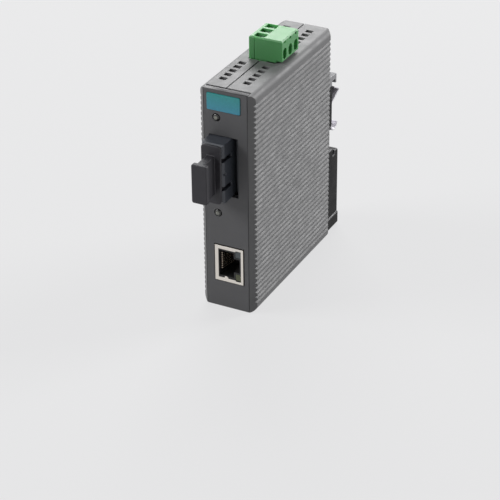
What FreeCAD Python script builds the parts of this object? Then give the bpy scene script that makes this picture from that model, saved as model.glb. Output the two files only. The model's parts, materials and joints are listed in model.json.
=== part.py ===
"""Fibre media converter: slim rail-mounted box, modelled piece by piece.

Frame in millimetres: X to the right, Y from the front panel to the rear,
Z up, origin at the middle of the bottom face that the box stands on.
"""
import FreeCAD, Part
import math
import os

os.makedirs("parts", exist_ok=True)

# ---------------------------------------------------------------- housing
BODY_W = 24.9            # across the ribbed side faces
BODY_H = 100.0
BODY_D = 75.4            # front panel face to rear face
EDGE_CHAMFER = 2.5       # upright edges, front and rear
CROWN_R = 3.0            # long edges along the top and the bottom
WALL = 2.0
SEAM_X = -1.1            # parting plane of the two shells
SEAM_BEVEL = 0.3
SEAT_GAP = 0.1           # clearance between pieces that seat on each other

RIB_PITCH = 2.315
RIB_GROOVE_W = 1.3
RIB_GROOVE_DEPTH = 0.8
RIB_MARGIN = 1.1         # smooth band between a rounded edge and the first groove

VENT_PITCH = 4.15
VENT_COUNT = 5           # slots in each group
VENT_ROW = 5.4           # from the seam to the middle of a row
VENT_L = 3.1
VENT_W = 2.3
VENT_FRONT_Y = -26.7     # first slot of the front group
VENT_REAR_Y = 14.3       # first slot of the rear group

# ------------------------------------------------------------ front panel
PANEL_T = 2.4
PANEL_SLOT = 0.4         # shadow gap between the panel and the lip behind it
LIP_T = 1.6              # lip that the panel's hooks grip
LIP_REACH = 1.4          # how far the lip stands in from the side walls
LIP_HEIGHT = 2.6         # lip along the top and the bottom
HOOK_W = 6.0
HOOK_T = 1.2
HOOK_NOSE = 0.5
HOOK_ROOT = 0.2          # how far the hooks' arms start inside the panel

BADGE_W = 14.9
BADGE_H = 7.3
BADGE_T = 0.5
BADGE_SINK = 0.2
BADGE_CORNER = 0.5
BADGE_X = -0.75
BADGE_DROP = 5.35        # middle of the badge below the housing's top

# ------------------------------------------------------------- main board
BOARD_T = 1.6
BOARD_FACE_X = 5.7       # component side, facing the left shell
BOARD_GAP = 0.5          # board edge to the shell walls
BOARD_FRONT_GAP = 0.3    # board edge to the front lip
FINGER_W = 3.0           # shell fingers that hold the board's edges
FINGER_INSET = 2.3       # from the front lip and the rear wall
FINGER_T = 1.9
FINGER_ROOT = 0.5        # how far a finger's foot starts inside the wall
FINGER_REACH = 2.0       # left shell's fingers past the seam
STOP_T = 1.5             # right shell's stops behind the board
TAIL = 1.1               # lead ends past the solder side
LEAD_FIT = 0.05          # hole in the board round a lead

# ------------------------------------------------------- network socket
JACK_Z = 21.15
JACK_W = 16.7            # along Z
JACK_X0 = -5.8
JACK_X1 = 7.3
JACK_D = 15.9
JACK_PROUD = 0.3
SHIELD_T = 0.3
JACK_MOUTH_X0 = -4.2
JACK_MOUTH_X1 = 6.2
JACK_MOUTH_W = 13.6
JACK_MOUTH_STEP = 0.5    # the mouth is wider beside the lamp windows
SHIELD_TAB_R = 0.9       # round tab of the shield that leans on the plug
SHIELD_TAB_X = -0.6
BELLY_RIM = 2.0          # shield left round its open belly
INSERT_FIT = 0.05        # insert inside its shield
PLUG_W = 11.9            # cavity for a standard eight-way plug
PLUG_X0 = -3.9
PLUG_X1 = 2.8
LATCH_W = 6.4
LATCH_X1 = 5.5
LATCH_SHORT = 3.0        # latch way shorter than the cavity
CAVITY_DEPTH = 12.5
WIRE_PITCH = 1.02
WIRE_COUNT = 8
WIRE_T = 0.45
WIRE_FIT = 0.05
WIRE_RISE = 2.6          # how far the sloping wires stand in the cavity
WIRE_BEND = 2.2          # front bend behind the shield's face
WIRE_END = 9.5           # rear end of the slope behind the shield's face
WIRE_ROW_NEAR = 2.0      # two rows of tails, measured from the socket's rear
WIRE_ROW_FAR = 4.5
WINDOW_W = 2.9           # lamp windows in the socket's corners
WINDOW_X = 2.4
CUTOUT_GAP = 0.25        # panel cut-outs around the sockets

# ------------------------------------------------------------ transceiver
NOSE_DROP = 33.3         # middle of the fibre ports below the housing's top
NOSE_W = 26.2            # along Z, both ports
NOSE_X0 = -7.3
NOSE_X1 = 2.7
NOSE_PROUD = 7.4
NOSE_BEVEL = 0.9
PORT_PITCH = 12.7
PORT_W = 9.1             # along Z
PORT_H = 7.5             # along X
PORT_DEPTH = 13.0
KEYWAY_W = 1.8
KEYWAY_STOP = 0.4        # keyways end before the panel
DIVIDER_W = 1.0          # short notch between the ports
DIVIDER_L = 2.0
DIVIDER_DEPTH = 0.6
MODULE_W = 25.4
MODULE_X1 = 3.2
MODULE_D = 39.6          # nose tip to the rear of the module
SLEEVE_R = 1.65
SLEEVE_BORE_R = 1.27
SLEEVE_L = 8.5
SLEEVE_SINK = 2.0        # sleeve's root in the port's floor
SLEEVE_FLOOR = 1.0
SC_WINDOW_X1 = 5.4       # panel window runs on past the nose
LEAD_PITCH = 2.54
LEAD_COUNT = 9
LEAD_SQ = 0.5
LEAD_FROM_REAR = 4.0
POST_SQ = 3.0            # feet that hold the module off the board
POST_SINK = 0.5          # foot's root inside the module
POST_INSET = 2.5         # feet in from the module's ends
POST_FROM_LEADS = 9.5

# -------------------------------------------------------------- dust plug
CAP_GAP = 0.15
CAP_DEPTH = 6.5
CAP_WALL = 1.6           # walls of the two hollow plugs
CAP_FLOOR = 0.8
CAP_FLANGE_T = 1.3
CAP_FLANGE_W = 26.0
CAP_FLANGE_X = 8.8
CAP_CORNER_R = 1.6
STEM_X = 3.4
GRIP_W = 17.2            # along Z
GRIP_X = 6.9
GRIP_T = 2.3
GRIP_CORNER_R = 0.8
GRIP_REACH = 11.5        # nose tip to the front of the grip

# --------------------------------------------------------------- lamps
LAMP_X = -4.1
LAMP_UPPER_DROP = 12.1   # upper lamp below the housing's top
LAMP_LOWER_DROP = 22.1   # lower lamp below the middle of the fibre ports
LENS_R = 1.5
LENS_TAIL = 0.4          # shank behind the panel
LENS_FLANGE_R = 1.9
LENS_FLANGE_T = 1.0
LENS_PROUD = 0.5
LENS_HOLE_R = 1.75
LENS_SEAT = 0.2          # flange behind the panel
STAND_HALF_X = 2.2
STAND_HALF_Z = 2.3
STAND_REAR = 1.6         # stand behind its leads
STAND_L = 9.4            # panel face to the leads' bend

# -------------------------------------------------------- power terminal
POLE_PITCH = 5.08
POLE_COUNT = 3
TERM_Y = 3.0             # middle of the three poles
POLE_X = -1.9            # screws and contact pins
TERM_X0 = -6.1
TERM_X1 = 9.0
TERM_LIFT = 0.2          # plug shoulder above the housing's top
TERM_H = 9.8
SKIRT_X0 = -5.3
SKIRT_X1 = 1.1
SKIRT_DEPTH = 8.6
TUB_WALL = 0.8
TUB_DEPTH = 11.9
TUB_FLOOR = 1.9
TUB_TOP_GAP = 0.1        # header rim below the housing's top
PIN_SQ = 1.0
PIN_TOP_GAP = 2.6        # pin tip below the header's rim
PIN_TAIL_DROP = 1.5      # pin's bend below the header's floor
HEADER_FOOT_H = 5.0
KEY_W = 1.6
KEY_H = 2.2

SCREW_R = 1.25
SCREW_HEAD_R = 1.7
SCREW_HEAD_T = 0.9
SCREW_SLOT_W = 0.5
SCREW_SLOT_DEPTH = 0.5
SCREW_FIT = 0.05
SCREW_END_GAP = 0.1      # screw tip above the contact strip
RECESS_X = 5.0
RECESS_Y = 3.6
RECESS_DEPTH = 1.2       # screw head below the plug's top
HEAD_LEDGE = 0.6
CAGE_X = 4.4
CAGE_Y = 4.0
CAGE_H = 4.7
CAGE_WALL = 0.5
CAGE_PLATE = 0.8
CAGE_TRAVEL = 2.1
STRIP_T = 0.6
STRIP_W = 2.4
STRIP_GAP = 0.2
TULIP_SQ = 2.4
TULIP_WALL = 0.5
TULIP_H = 7.2
TULIP_DROP = 0.3         # shelf below the cage
SHELF_T = 0.5
SLIT_W = 0.5
SLIT_ROOT = 3.0
CAGE_GAP = 0.1           # chamber round the cage and the contact
PLUG_BEVEL = 0.5
RELIEF_STEP = 0.5        # shoulder beyond the board's face
RELIEF_H = 0.8
MARK_X = 2.4             # upright line on the plug's ends
MARK_W = 0.4
MARK_DEPTH = 0.2
WIRE_HOLE_W = 3.2
WIRE_HOLE_H = 4.8
WIRE_HOLE_LIFT = 1.3
PEEP_W = 1.5
PEEP_H = 1.0
PEEP_DEPTH = 1.0

# ------------------------------------------------------------- rail mount
RAIL_PLATE_W = 19.9
RAIL_PLATE_Z0 = 0.5
RAIL_PLATE_T = 3.0
RAIL_PAD_T = 5.2         # raised pad under the spring
PAD_SLOPE = 1.5
HEEL_T = 12.2            # thick lower block
HEEL_Z1 = 38.1
HEEL_BEVEL = 0.8
HEEL_GROOVE = 1.7
HEEL_GROOVE_DEPTH = 2.0
HEEL_LIP_T = 3.6
HEEL_WALL = 1.8
HEEL_SHOULDER = 0.6      # inner wall of the heel's groove above its lip
HEEL_SLOPE = 1.2
FOOT_H = 5.6
FOOT_STEP = 0.5
LEDGE_T = 2.5
LEDGE_REACH = 9.6
LEDGE_LIP_T = 1.1
LEDGE_LIP_H = 4.5
LEDGE_BEVEL = 0.6

SCREW_ABOVE_HEEL = 6.1   # heights of the clip's details, each from the one below
PAD_ABOVE_HEEL = 13.9
RIVET_ABOVE_PAD = 5.5
LAND_ABOVE_RIVET = 4.5
TIP_ABOVE_LAND = 4.0
END_ABOVE_TIP = 3.0
LEDGE_ABOVE_END = 6.5
CURL_BELOW_PAD = 0.4

SPRING_W = 19.0
SPRING_T = 0.6
SPRING_SEAT = 0.05
SPRING_TIP_OUT = 13.6    # spring tip from the rear face
SPRING_END_OUT = 8.2
SPRING_CURL_R = 3.2
SPRING_CURL_STEPS = 8
RIVET_R = 1.2
RIVET_HEAD_R = 2.1
RIVET_HEAD_T = 0.8
RIVET_PITCH = 10.0
RIVET_START = 1.3        # blind end of a rivet from the housing's rear face
PLATE_SCREW_R = 1.45
PLATE_SCREW_FIT = 0.15
BOSS_FIT = 0.05
PLATE_HEAD_R = 2.6
PLATE_HEAD_T = 1.5
PLATE_SCREW_L = 8.5
CROSS_L = 2.6
CROSS_W = 0.6
CROSS_DEPTH = 0.8
PLATE_SCREW_X = 5.7      # each side of the seam
BOSS_W = 6.0
BOSS_L = 5.0
BOSS_NOTCH_GAP = 0.5     # board's notch round a boss

# -------------------------------------------------------- board components
TRANSFORMER_Y = 15.0
TRANSFORMER_Z = 13.0
TRANSFORMER_H = 5.8
TRANSFORMER_GAP = 2.5    # network socket to the transformer
CHIP_H = 1.5
CHIP_SEAT = 0.1          # chip body above the board
CONVERTER_W = 14.0
CONVERTER_GAP = 8.0      # transformer to the converter chip
CONVERTER_LEAD_COUNT = 9    # a side
CONVERTER_PITCH = 1.27
CHIP_LEAD_L = 1.0
CHIP_LEAD_T = 0.5
CHIP_LEAD_W = 0.6
NETWORK_W = 10.0
NETWORK_Y = 8.0
NETWORK_LEAD_COUNT = 6
NETWORK_PITCH = 1.27
INDUCTOR_W = 10.0
INDUCTOR_H = 5.0
INDUCTOR_BEVEL = 1.5
POWER_GAP = 0.6          # inductor to the screw bosses
INDUCTOR_DROP = 42.0     # below the housing's top
REGULATOR_Y = 9.5
REGULATOR_H = 4.4
REGULATOR_GAP = 1.2      # inductor to the regulator
CAPACITOR_R = 4.0
CAPACITOR_H = 10.2
CAPACITOR_PITCH = 10.0
CAPACITOR_DROP = 28.0
CRYSTAL_L = 11.0
CRYSTAL_W = 4.6
CRYSTAL_H = 3.6
CRYSTAL_R = 2.0
CRYSTAL_Y = 24.0
CRYSTAL_RISE = 16.85
FUSE_L = 8.0
FUSE_W = 2.6
FUSE_H = 8.5
FUSE_CORNER = 0.8
FUSE_Y = 30.0
FUSE_DROP = 16.0
SMALL_L = 1.6            # chip capacitors
SMALL_W = 0.9
SMALL_H = 0.8
SMALL_COUNT = 6
SMALL_PITCH = 3.1
SMALL_COLUMN_Y = 0.0
SMALL_COLUMN_RISE = 30.85    # foot of the upper column above the network socket

# ------------------------------------------------------- derived places
FRONT = -BODY_D / 2
REAR = BODY_D / 2
HALF_W = BODY_W / 2
PANEL_HALF = HALF_W - EDGE_CHAMFER
PANEL_BACK = FRONT + PANEL_T
LIP_FRONT = PANEL_BACK + PANEL_SLOT
LIP_BACK = LIP_FRONT + LIP_T
WINDOW_HALF = PANEL_HALF - LIP_REACH
BOARD_BACK_X = BOARD_FACE_X + BOARD_T
BOARD_Y0 = LIP_BACK + BOARD_FRONT_GAP
BOARD_Y1 = REAR - WALL - BOARD_GAP
BOARD_Z0 = WALL + BOARD_GAP
BOARD_Z1 = BODY_H - WALL - BOARD_GAP
BADGE_Z = BODY_H - BADGE_DROP
NOSE_X = (NOSE_X0 + NOSE_X1) / 2
NOSE_Z = BODY_H - NOSE_DROP
NOSE_TIP = FRONT - NOSE_PROUD
PORT_ZS = (NOSE_Z - PORT_PITCH / 2, NOSE_Z + PORT_PITCH / 2)
LAMP_UPPER_Z = BODY_H - LAMP_UPPER_DROP
LAMP_LOWER_Z = NOSE_Z - LAMP_LOWER_DROP
LAMP_LEAD_Y = FRONT + STAND_L
LEAD_Y = NOSE_TIP + MODULE_D - LEAD_FROM_REAR
POST_Y = LEAD_Y - POST_FROM_LEADS
JACK_FRONT = FRONT - JACK_PROUD
JACK_REAR = JACK_FRONT + JACK_D
WIRE_ROWS_Y = (JACK_REAR - WIRE_ROW_FAR, JACK_REAR - WIRE_ROW_NEAR)
TERM_W = POLE_COUNT * POLE_PITCH
POLE_YS = [TERM_Y + (i - (POLE_COUNT - 1) / 2) * POLE_PITCH for i in range(POLE_COUNT)]
TERM_Z0 = BODY_H + TERM_LIFT
TERM_Z1 = TERM_Z0 + TERM_H
HEAD_Z0 = TERM_Z1 - RECESS_DEPTH - SCREW_HEAD_T
LEDGE_Z0 = HEAD_Z0 - HEAD_LEDGE
CAGE_Z1 = LEDGE_Z0 - CAGE_TRAVEL - SEAT_GAP
CAGE_Z0 = CAGE_Z1 - CAGE_H
STRIP_Z1 = CAGE_Z1 - CAGE_PLATE - STRIP_GAP
STRIP_Z0 = STRIP_Z1 - STRIP_T
RIM_Z = BODY_H - TUB_TOP_GAP
TUB_Z0 = RIM_Z - TUB_DEPTH
PIN_TOP = RIM_Z - PIN_TOP_GAP
PIN_TAIL_Z = TUB_Z0 - PIN_TAIL_DROP
SKIRT_Z0 = RIM_Z - SKIRT_DEPTH
PLATE_SCREW_Z = HEEL_Z1 + SCREW_ABOVE_HEEL
RAIL_PAD_Z = HEEL_Z1 + PAD_ABOVE_HEEL
RIVET_Z = RAIL_PAD_Z + RIVET_ABOVE_PAD
SPRING_LAND_Z = RIVET_Z + LAND_ABOVE_RIVET
SPRING_TIP_Z = SPRING_LAND_Z + TIP_ABOVE_LAND
SPRING_END_Z = SPRING_TIP_Z + END_ABOVE_TIP
RAIL_PLATE_Z1 = SPRING_END_Z + LEDGE_ABOVE_END
SPRING_CURL_Z = RAIL_PAD_Z - CURL_BELOW_PAD
BOSS_Y = REAR - WALL - BOSS_L
POWER_Y = BOSS_Y - POWER_GAP - INDUCTOR_W / 2
INDUCTOR_Z = BODY_H - INDUCTOR_DROP
CONVERTER_TOP = JACK_Z + CONVERTER_W / 2 + CHIP_LEAD_L
NETWORK_Z = (CONVERTER_TOP + INDUCTOR_Z - INDUCTOR_W / 2) / 2


def V(x, y, z):
    return FreeCAD.Vector(x, y, z)


def box(x0, x1, y0, y1, z0, z1):
    """Block between two corners."""
    return Part.makeBox(x1 - x0, y1 - y0, z1 - z0, V(x0, y0, z0))


def centred(x, dx, y0, y1, z, dz):
    """Block centred on x and z, running from y0 to y1."""
    return box(x - dx / 2, x + dx / 2, y0, y1, z - dz / 2, z + dz / 2)


def prism(points, sweep):
    """Straight prism on a closed outline of points."""
    outline = Part.makePolygon(points + points[:1])
    return Part.Face(outline).extrude(sweep)


def fuse(first, *others):
    """One solid from touching solids, with the seams taken out."""
    return first.fuse(list(others)).removeSplitter()


def cut(body, *tools):
    return body.cut(list(tools))


def edges_along_x(solid):
    """Straight edges that run along X, for rounding a block's corners."""
    return [e for e in solid.Edges if abs(e.Vertexes[0].X - e.Vertexes[-1].X) > 0.01]


def edges_along_y(solid):
    """Straight edges that run along Y."""
    return [e for e in solid.Edges if abs(e.Vertexes[0].Y - e.Vertexes[-1].Y) > 0.01]


def save(node, *solids):
    """Write a node, one solid or a group of like solids, after checking it."""
    shape = solids[0] if len(solids) == 1 else Part.makeCompound(list(solids))
    if not shape.isValid():
        raise ValueError(node + " is not valid")
    shape.exportStep("parts/" + node + ".step")
    return shape


def upright(half_w, y0, y1, z0, z1, edge):
    """Box whose upright edges are chamfered."""
    plan = [(-half_w + edge, y0), (half_w - edge, y0), (half_w, y0 + edge),
            (half_w, y1 - edge), (half_w - edge, y1), (-half_w + edge, y1),
            (-half_w, y1 - edge), (-half_w, y0 + edge)]
    return prism([V(x, y, z0) for x, y in plan], V(0, 0, z1 - z0))


def envelope():
    """Outside of the housing: chamfered upright edges, rounded long edges."""
    block = box(-HALF_W, HALF_W, FRONT, REAR, 0, BODY_H)
    return block.makeFillet(CROWN_R, edges_along_y(block)).common(
        upright(HALF_W, FRONT, REAR, 0, BODY_H, EDGE_CHAMFER))


# ------------------------------------------------------------------ shells
def rib_grooves():
    """V grooves cut along Y into both side faces, which leave flat-topped ribs."""
    band = BODY_H - 2 * (CROWN_R + RIB_MARGIN) - RIB_GROOVE_W
    count = int(band / RIB_PITCH) + 1
    first = BODY_H / 2 - (count - 1) * RIB_PITCH / 2
    floor = HALF_W - RIB_GROOVE_DEPTH
    over = HALF_W + 1
    grooves = []
    for side in (-1, 1):
        for i in range(count):
            z = first + i * RIB_PITCH
            rim = RIB_GROOVE_W / 2
            section = [(over, z - rim), (HALF_W, z - rim), (floor, z), (HALF_W, z + rim), (over, z + rim)]
            grooves.append(prism([V(side * x, FRONT, h) for x, h in section], V(0, BODY_D, 0)))
    return grooves


def vent_slots():
    """Two rows of short slots through the top, and the same through the bottom."""
    slots = []
    for first in (VENT_FRONT_Y, VENT_REAR_Y):
        for i in range(VENT_COUNT):
            for side in (-1, 1):
                x = SEAM_X + side * VENT_ROW
                y0 = first + i * VENT_PITCH - VENT_W / 2
                for z0 in (-1, BODY_H - WALL - 1):
                    slots.append(box(x - VENT_L / 2, x + VENT_L / 2, y0, y0 + VENT_W, z0, z0 + WALL + 2))
    return slots


def seam_bevel():
    """Shallow V along the parting line on the top, the bottom and the rear."""
    b = SEAM_BEVEL
    top = [V(SEAM_X - b, FRONT, BODY_H), V(SEAM_X, FRONT, BODY_H - b), V(SEAM_X + b, FRONT, BODY_H)]
    low = [V(SEAM_X - b, FRONT, 0), V(SEAM_X, FRONT, b), V(SEAM_X + b, FRONT, 0)]
    rear = [V(SEAM_X - b, REAR, 0), V(SEAM_X, REAR - b, 0), V(SEAM_X + b, REAR, 0)]
    return [prism(top, V(0, BODY_D, 0)), prism(low, V(0, BODY_D, 0)), prism(rear, V(0, 0, BODY_H))]


def finger(y, z0, x0, x1):
    """Finger of a shell that holds an edge of the board."""
    return box(x0, x1, y - FINGER_W / 2, y + FINGER_W / 2, z0, z0 + FINGER_T)


def board_fingers(y):
    """The left shell's fingers touch the board's face, the right shell's stops its back."""
    tip = BOARD_FACE_X - SEAT_GAP
    root = SEAM_X - FINGER_REACH
    foot = SEAM_X - SEAT_GAP
    stop = BOARD_BACK_X + SEAT_GAP
    roof = BODY_H - WALL
    left = [finger(y, WALL + SEAT_GAP, root, tip),
            finger(y, WALL - FINGER_ROOT, root, foot),
            finger(y, roof - SEAT_GAP - FINGER_T, root, tip),
            finger(y, roof + FINGER_ROOT - FINGER_T, root, foot)]
    right = [finger(y, WALL, stop, stop + STOP_T),
             finger(y, roof - FINGER_T, stop, stop + STOP_T)]
    return left, right


def screw_boss(side):
    """Square boss inside the rear wall for one of the rail plate's screws."""
    x = SEAM_X + side * PLATE_SCREW_X
    boss = centred(x, BOSS_W, BOSS_Y, REAR - WALL, PLATE_SCREW_Z, BOSS_W)
    hole = Part.makeCylinder(PLATE_SCREW_R, BOSS_L + WALL + 2, V(x, BOSS_Y - 1, PLATE_SCREW_Z), V(0, 1, 0))
    return boss, hole


def shells():
    corner = WALL * (2 - math.sqrt(2))
    cavity = upright(HALF_W - WALL, LIP_BACK, REAR - WALL, WALL, BODY_H - WALL, EDGE_CHAMFER - corner)
    pocket = box(-PANEL_HALF, PANEL_HALF, FRONT, LIP_FRONT, 0, BODY_H)
    window = box(-WINDOW_HALF, WINDOW_HALF, FRONT, LIP_BACK, LIP_HEIGHT, BODY_H - LIP_HEIGHT)
    header_hole = box(TERM_X0 - CUTOUT_GAP, BOARD_FACE_X + CUTOUT_GAP,
                      TERM_Y - TERM_W / 2 - CUTOUT_GAP, TERM_Y + TERM_W / 2 + CUTOUT_GAP,
                      BODY_H - WALL - 1, BODY_H + 1)
    whole = cut(envelope(), cavity, pocket, window, header_hole)
    whole = cut(whole, *rib_grooves())
    whole = cut(whole, *vent_slots())
    whole = cut(whole, *seam_bevel())

    left = whole.common(box(-BODY_D, SEAM_X, -BODY_D, BODY_D, -1, BODY_H + 1))
    right = whole.common(box(SEAM_X, BODY_D, -BODY_D, BODY_D, -1, BODY_H + 1))
    for y in (LIP_BACK + FINGER_INSET + FINGER_W / 2, BOARD_Y1 - FINGER_W / 2):
        left_fingers, right_stops = board_fingers(y)
        left = left.fuse(left_fingers)
        right = right.fuse(right_stops)
    for name, shell, side in (("left_shell", left, -1), ("right_shell", right, 1)):
        boss, hole = screw_boss(side)
        save(name, shell.fuse(boss).cut(hole).removeSplitter())


# ------------------------------------------------------------- front panel
def hook(z, up):
    """Snap hook behind the panel that grips the housing's lip."""
    tip = LIP_BACK + SEAT_GAP
    arm_z = z if up else z - HOOK_T
    nose_z = z + HOOK_T if up else z - HOOK_T - HOOK_NOSE
    half = HOOK_W / 2
    arm = box(-half, half, PANEL_BACK - HOOK_ROOT, tip + HOOK_T, arm_z, arm_z + HOOK_T)
    nose = box(-half, half, tip, tip + HOOK_T, nose_z, nose_z + HOOK_NOSE)
    return [arm, nose]


def front_panel():
    g = CUTOUT_GAP
    half = PANEL_HALF - SEAT_GAP
    slab = envelope().common(box(-half, half, FRONT, PANEL_BACK, 0, BODY_H))
    high = BODY_H - LIP_HEIGHT - SEAT_GAP - HOOK_T
    low = LIP_HEIGHT + SEAT_GAP + HOOK_T
    slab = slab.fuse(hook(high, True) + hook(low, False))
    jack = box(JACK_X0 - g, JACK_X1 + g, FRONT - 1, PANEL_BACK + 1,
               JACK_Z - JACK_W / 2 - g, JACK_Z + JACK_W / 2 + g)
    nose = box(NOSE_X0 - g, SC_WINDOW_X1, FRONT - 1, PANEL_BACK + 1,
               NOSE_Z - NOSE_W / 2 - g, NOSE_Z + NOSE_W / 2 + g)
    lamps = [Part.makeCylinder(LENS_HOLE_R, PANEL_T + 2, V(LAMP_X, FRONT - 1, z), V(0, 1, 0))
             for z in (LAMP_UPPER_Z, LAMP_LOWER_Z)]
    seat = centred(BADGE_X, BADGE_W + 2 * SEAT_GAP, FRONT - 1, FRONT + BADGE_SINK,
                   BADGE_Z, BADGE_H + 2 * SEAT_GAP)
    save("front_panel", cut(slab, jack, nose, seat, *lamps).removeSplitter())

    badge = centred(BADGE_X, BADGE_W, FRONT + BADGE_SINK - BADGE_T, FRONT + BADGE_SINK,
                    BADGE_Z, BADGE_H)
    save("badge_plate", badge.makeChamfer(BADGE_CORNER, edges_along_y(badge)))


# -------------------------------------------------------------- main board
def lead_places():
    """Z places of the transceiver's row of leads."""
    return [NOSE_Z + (i - (LEAD_COUNT - 1) / 2) * LEAD_PITCH for i in range(LEAD_COUNT)]


def wire_places():
    """Z places of the network socket's contact wires."""
    return [JACK_Z + (i - (WIRE_COUNT - 1) / 2) * WIRE_PITCH for i in range(WIRE_COUNT)]


def lead_hole(y, z, square):
    """Plated hole through the board for a square lead."""
    half = square / 2 + LEAD_FIT
    return box(BOARD_FACE_X - 1, BOARD_BACK_X + 1, y - half, y + half, z - half, z + half)


def lead(y, z, square, x0):
    """Straight square lead from x0 through the board."""
    half = square / 2
    return box(x0, BOARD_BACK_X + TAIL, y - half, y + half, z - half, z + half)


def main_board():
    board = box(BOARD_FACE_X, BOARD_BACK_X, BOARD_Y0, BOARD_Y1, BOARD_Z0, BOARD_Z1)
    holes = [lead_hole(y, PIN_TAIL_Z, PIN_SQ) for y in POLE_YS]
    holes += [lead_hole(LEAD_Y, z, LEAD_SQ) for z in lead_places()]
    holes += [lead_hole(WIRE_ROWS_Y[i % 2], z, WIRE_T) for i, z in enumerate(wire_places())]
    for z in (LAMP_UPPER_Z, LAMP_LOWER_Z):
        holes += [lead_hole(LAMP_LEAD_Y, z + s * LEAD_PITCH / 2, LEAD_SQ) for s in (-1, 1)]
    notch = BOSS_W / 2 + BOSS_NOTCH_GAP
    holes.append(box(BOARD_FACE_X - 1, BOARD_BACK_X + 1, BOSS_Y - BOARD_GAP, REAR,
                     PLATE_SCREW_Z - notch, PLATE_SCREW_Z + notch))
    save("main_board", cut(board, *holes))


# ---------------------------------------------------------- network socket
def socket_block(inset):
    """Socket body set in by a distance: full height before the board, cut back over it."""
    half = JACK_W / 2 - inset
    front = box(JACK_X0 + inset, JACK_X1 - inset, JACK_FRONT + inset, BOARD_Y0 - SEAT_GAP - inset,
                JACK_Z - half, JACK_Z + half)
    over = box(JACK_X0 + inset, BOARD_FACE_X - SEAT_GAP - inset, JACK_FRONT + inset, JACK_REAR - inset,
               JACK_Z - half, JACK_Z + half)
    return fuse(front, over)


def jack_shield():
    """Folded sheet round the socket, with its mouth, open belly and a round spring tab."""
    front = JACK_FRONT - 1
    back = JACK_FRONT + SHIELD_T + 1
    half = JACK_MOUTH_W / 2
    wide = half + JACK_MOUTH_STEP
    mouth = box(JACK_MOUTH_X0, JACK_MOUTH_X1, front, back, JACK_Z - half, JACK_Z + half)
    corners = box(JACK_MOUTH_X1 - WINDOW_X, JACK_MOUTH_X1, front, back, JACK_Z - wide, JACK_Z + wide)
    edge_x = BOARD_FACE_X - SEAT_GAP
    side = JACK_W / 2 - BELLY_RIM
    belly = box(edge_x - SHIELD_T - 1, edge_x + 1, BOARD_Y0 - SEAT_GAP + BELLY_RIM,
                JACK_REAR - WIRE_ROW_NEAR / 2, JACK_Z - side, JACK_Z + side)
    opening = fuse(mouth, corners)
    tab = Part.makeCylinder(SHIELD_TAB_R, back - front, V(SHIELD_TAB_X, front, JACK_Z - half), V(0, 1, 0))
    save("jack_shield", cut(socket_block(0), socket_block(SHIELD_T), opening.cut(tab), belly))


def jack_window(side, grow):
    """Light-guide bar in a corner of the socket, beside the latch."""
    y0 = JACK_FRONT + SHIELD_T + INSERT_FIT
    z = JACK_Z + side * (JACK_MOUTH_W / 2 - WINDOW_W / 2 + SEAT_GAP)
    x1 = JACK_MOUTH_X1 - 2 * SEAT_GAP
    half = WINDOW_W / 2 + grow
    return box(x1 - WINDOW_X - grow, x1 + grow, y0, BOARD_Y0 - SHIELD_T - 1 + grow, z - half, z + half)


def contact_wire(z, tail_y, grow):
    """Spring wire: leans into the cavity, runs back over the roof, drops to the board."""
    half = WIRE_T / 2 + grow
    roof_x = PLUG_X0 - WIRE_T - SEAT_GAP
    bend_y = JACK_FRONT + WIRE_BEND
    end_y = JACK_FRONT + WIRE_END
    end_x = roof_x + WIRE_RISE
    slope = prism([V(roof_x - grow, bend_y - grow, z - half),
                   V(roof_x + WIRE_T + grow, bend_y - grow, z - half),
                   V(end_x + grow, end_y, z - half),
                   V(end_x - WIRE_T - grow, end_y, z - half)], V(0, 0, 2 * half))
    run = box(roof_x - grow, roof_x + WIRE_T + grow, bend_y - grow, tail_y + half, z - half, z + half)
    drop = box(roof_x - grow, BOARD_BACK_X + TAIL, tail_y - half, tail_y + half, z - half, z + half)
    return [run, slope, drop]


def network_socket():
    jack_shield()
    places = list(enumerate(wire_places()))
    plug = box(PLUG_X0, PLUG_X1, JACK_FRONT - 1, JACK_FRONT + CAVITY_DEPTH,
               JACK_Z - PLUG_W / 2, JACK_Z + PLUG_W / 2)
    latch = box(PLUG_X1 - 1, LATCH_X1, JACK_FRONT - 1, JACK_FRONT + CAVITY_DEPTH - LATCH_SHORT,
                JACK_Z - LATCH_W / 2, JACK_Z + LATCH_W / 2)
    room = [plug, latch, jack_window(-1, INSERT_FIT), jack_window(1, INSERT_FIT)]
    for i, z in places:
        room += contact_wire(z, WIRE_ROWS_Y[i % 2], WIRE_FIT)
    save("jack_insert", cut(socket_block(SHIELD_T + INSERT_FIT), *room).removeSplitter())
    save("jack_lamp_lower", jack_window(-1, 0))
    save("jack_lamp_upper", jack_window(1, 0))
    save("jack_contacts", *[fuse(*contact_wire(z, WIRE_ROWS_Y[i % 2], 0)) for i, z in places])


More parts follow.
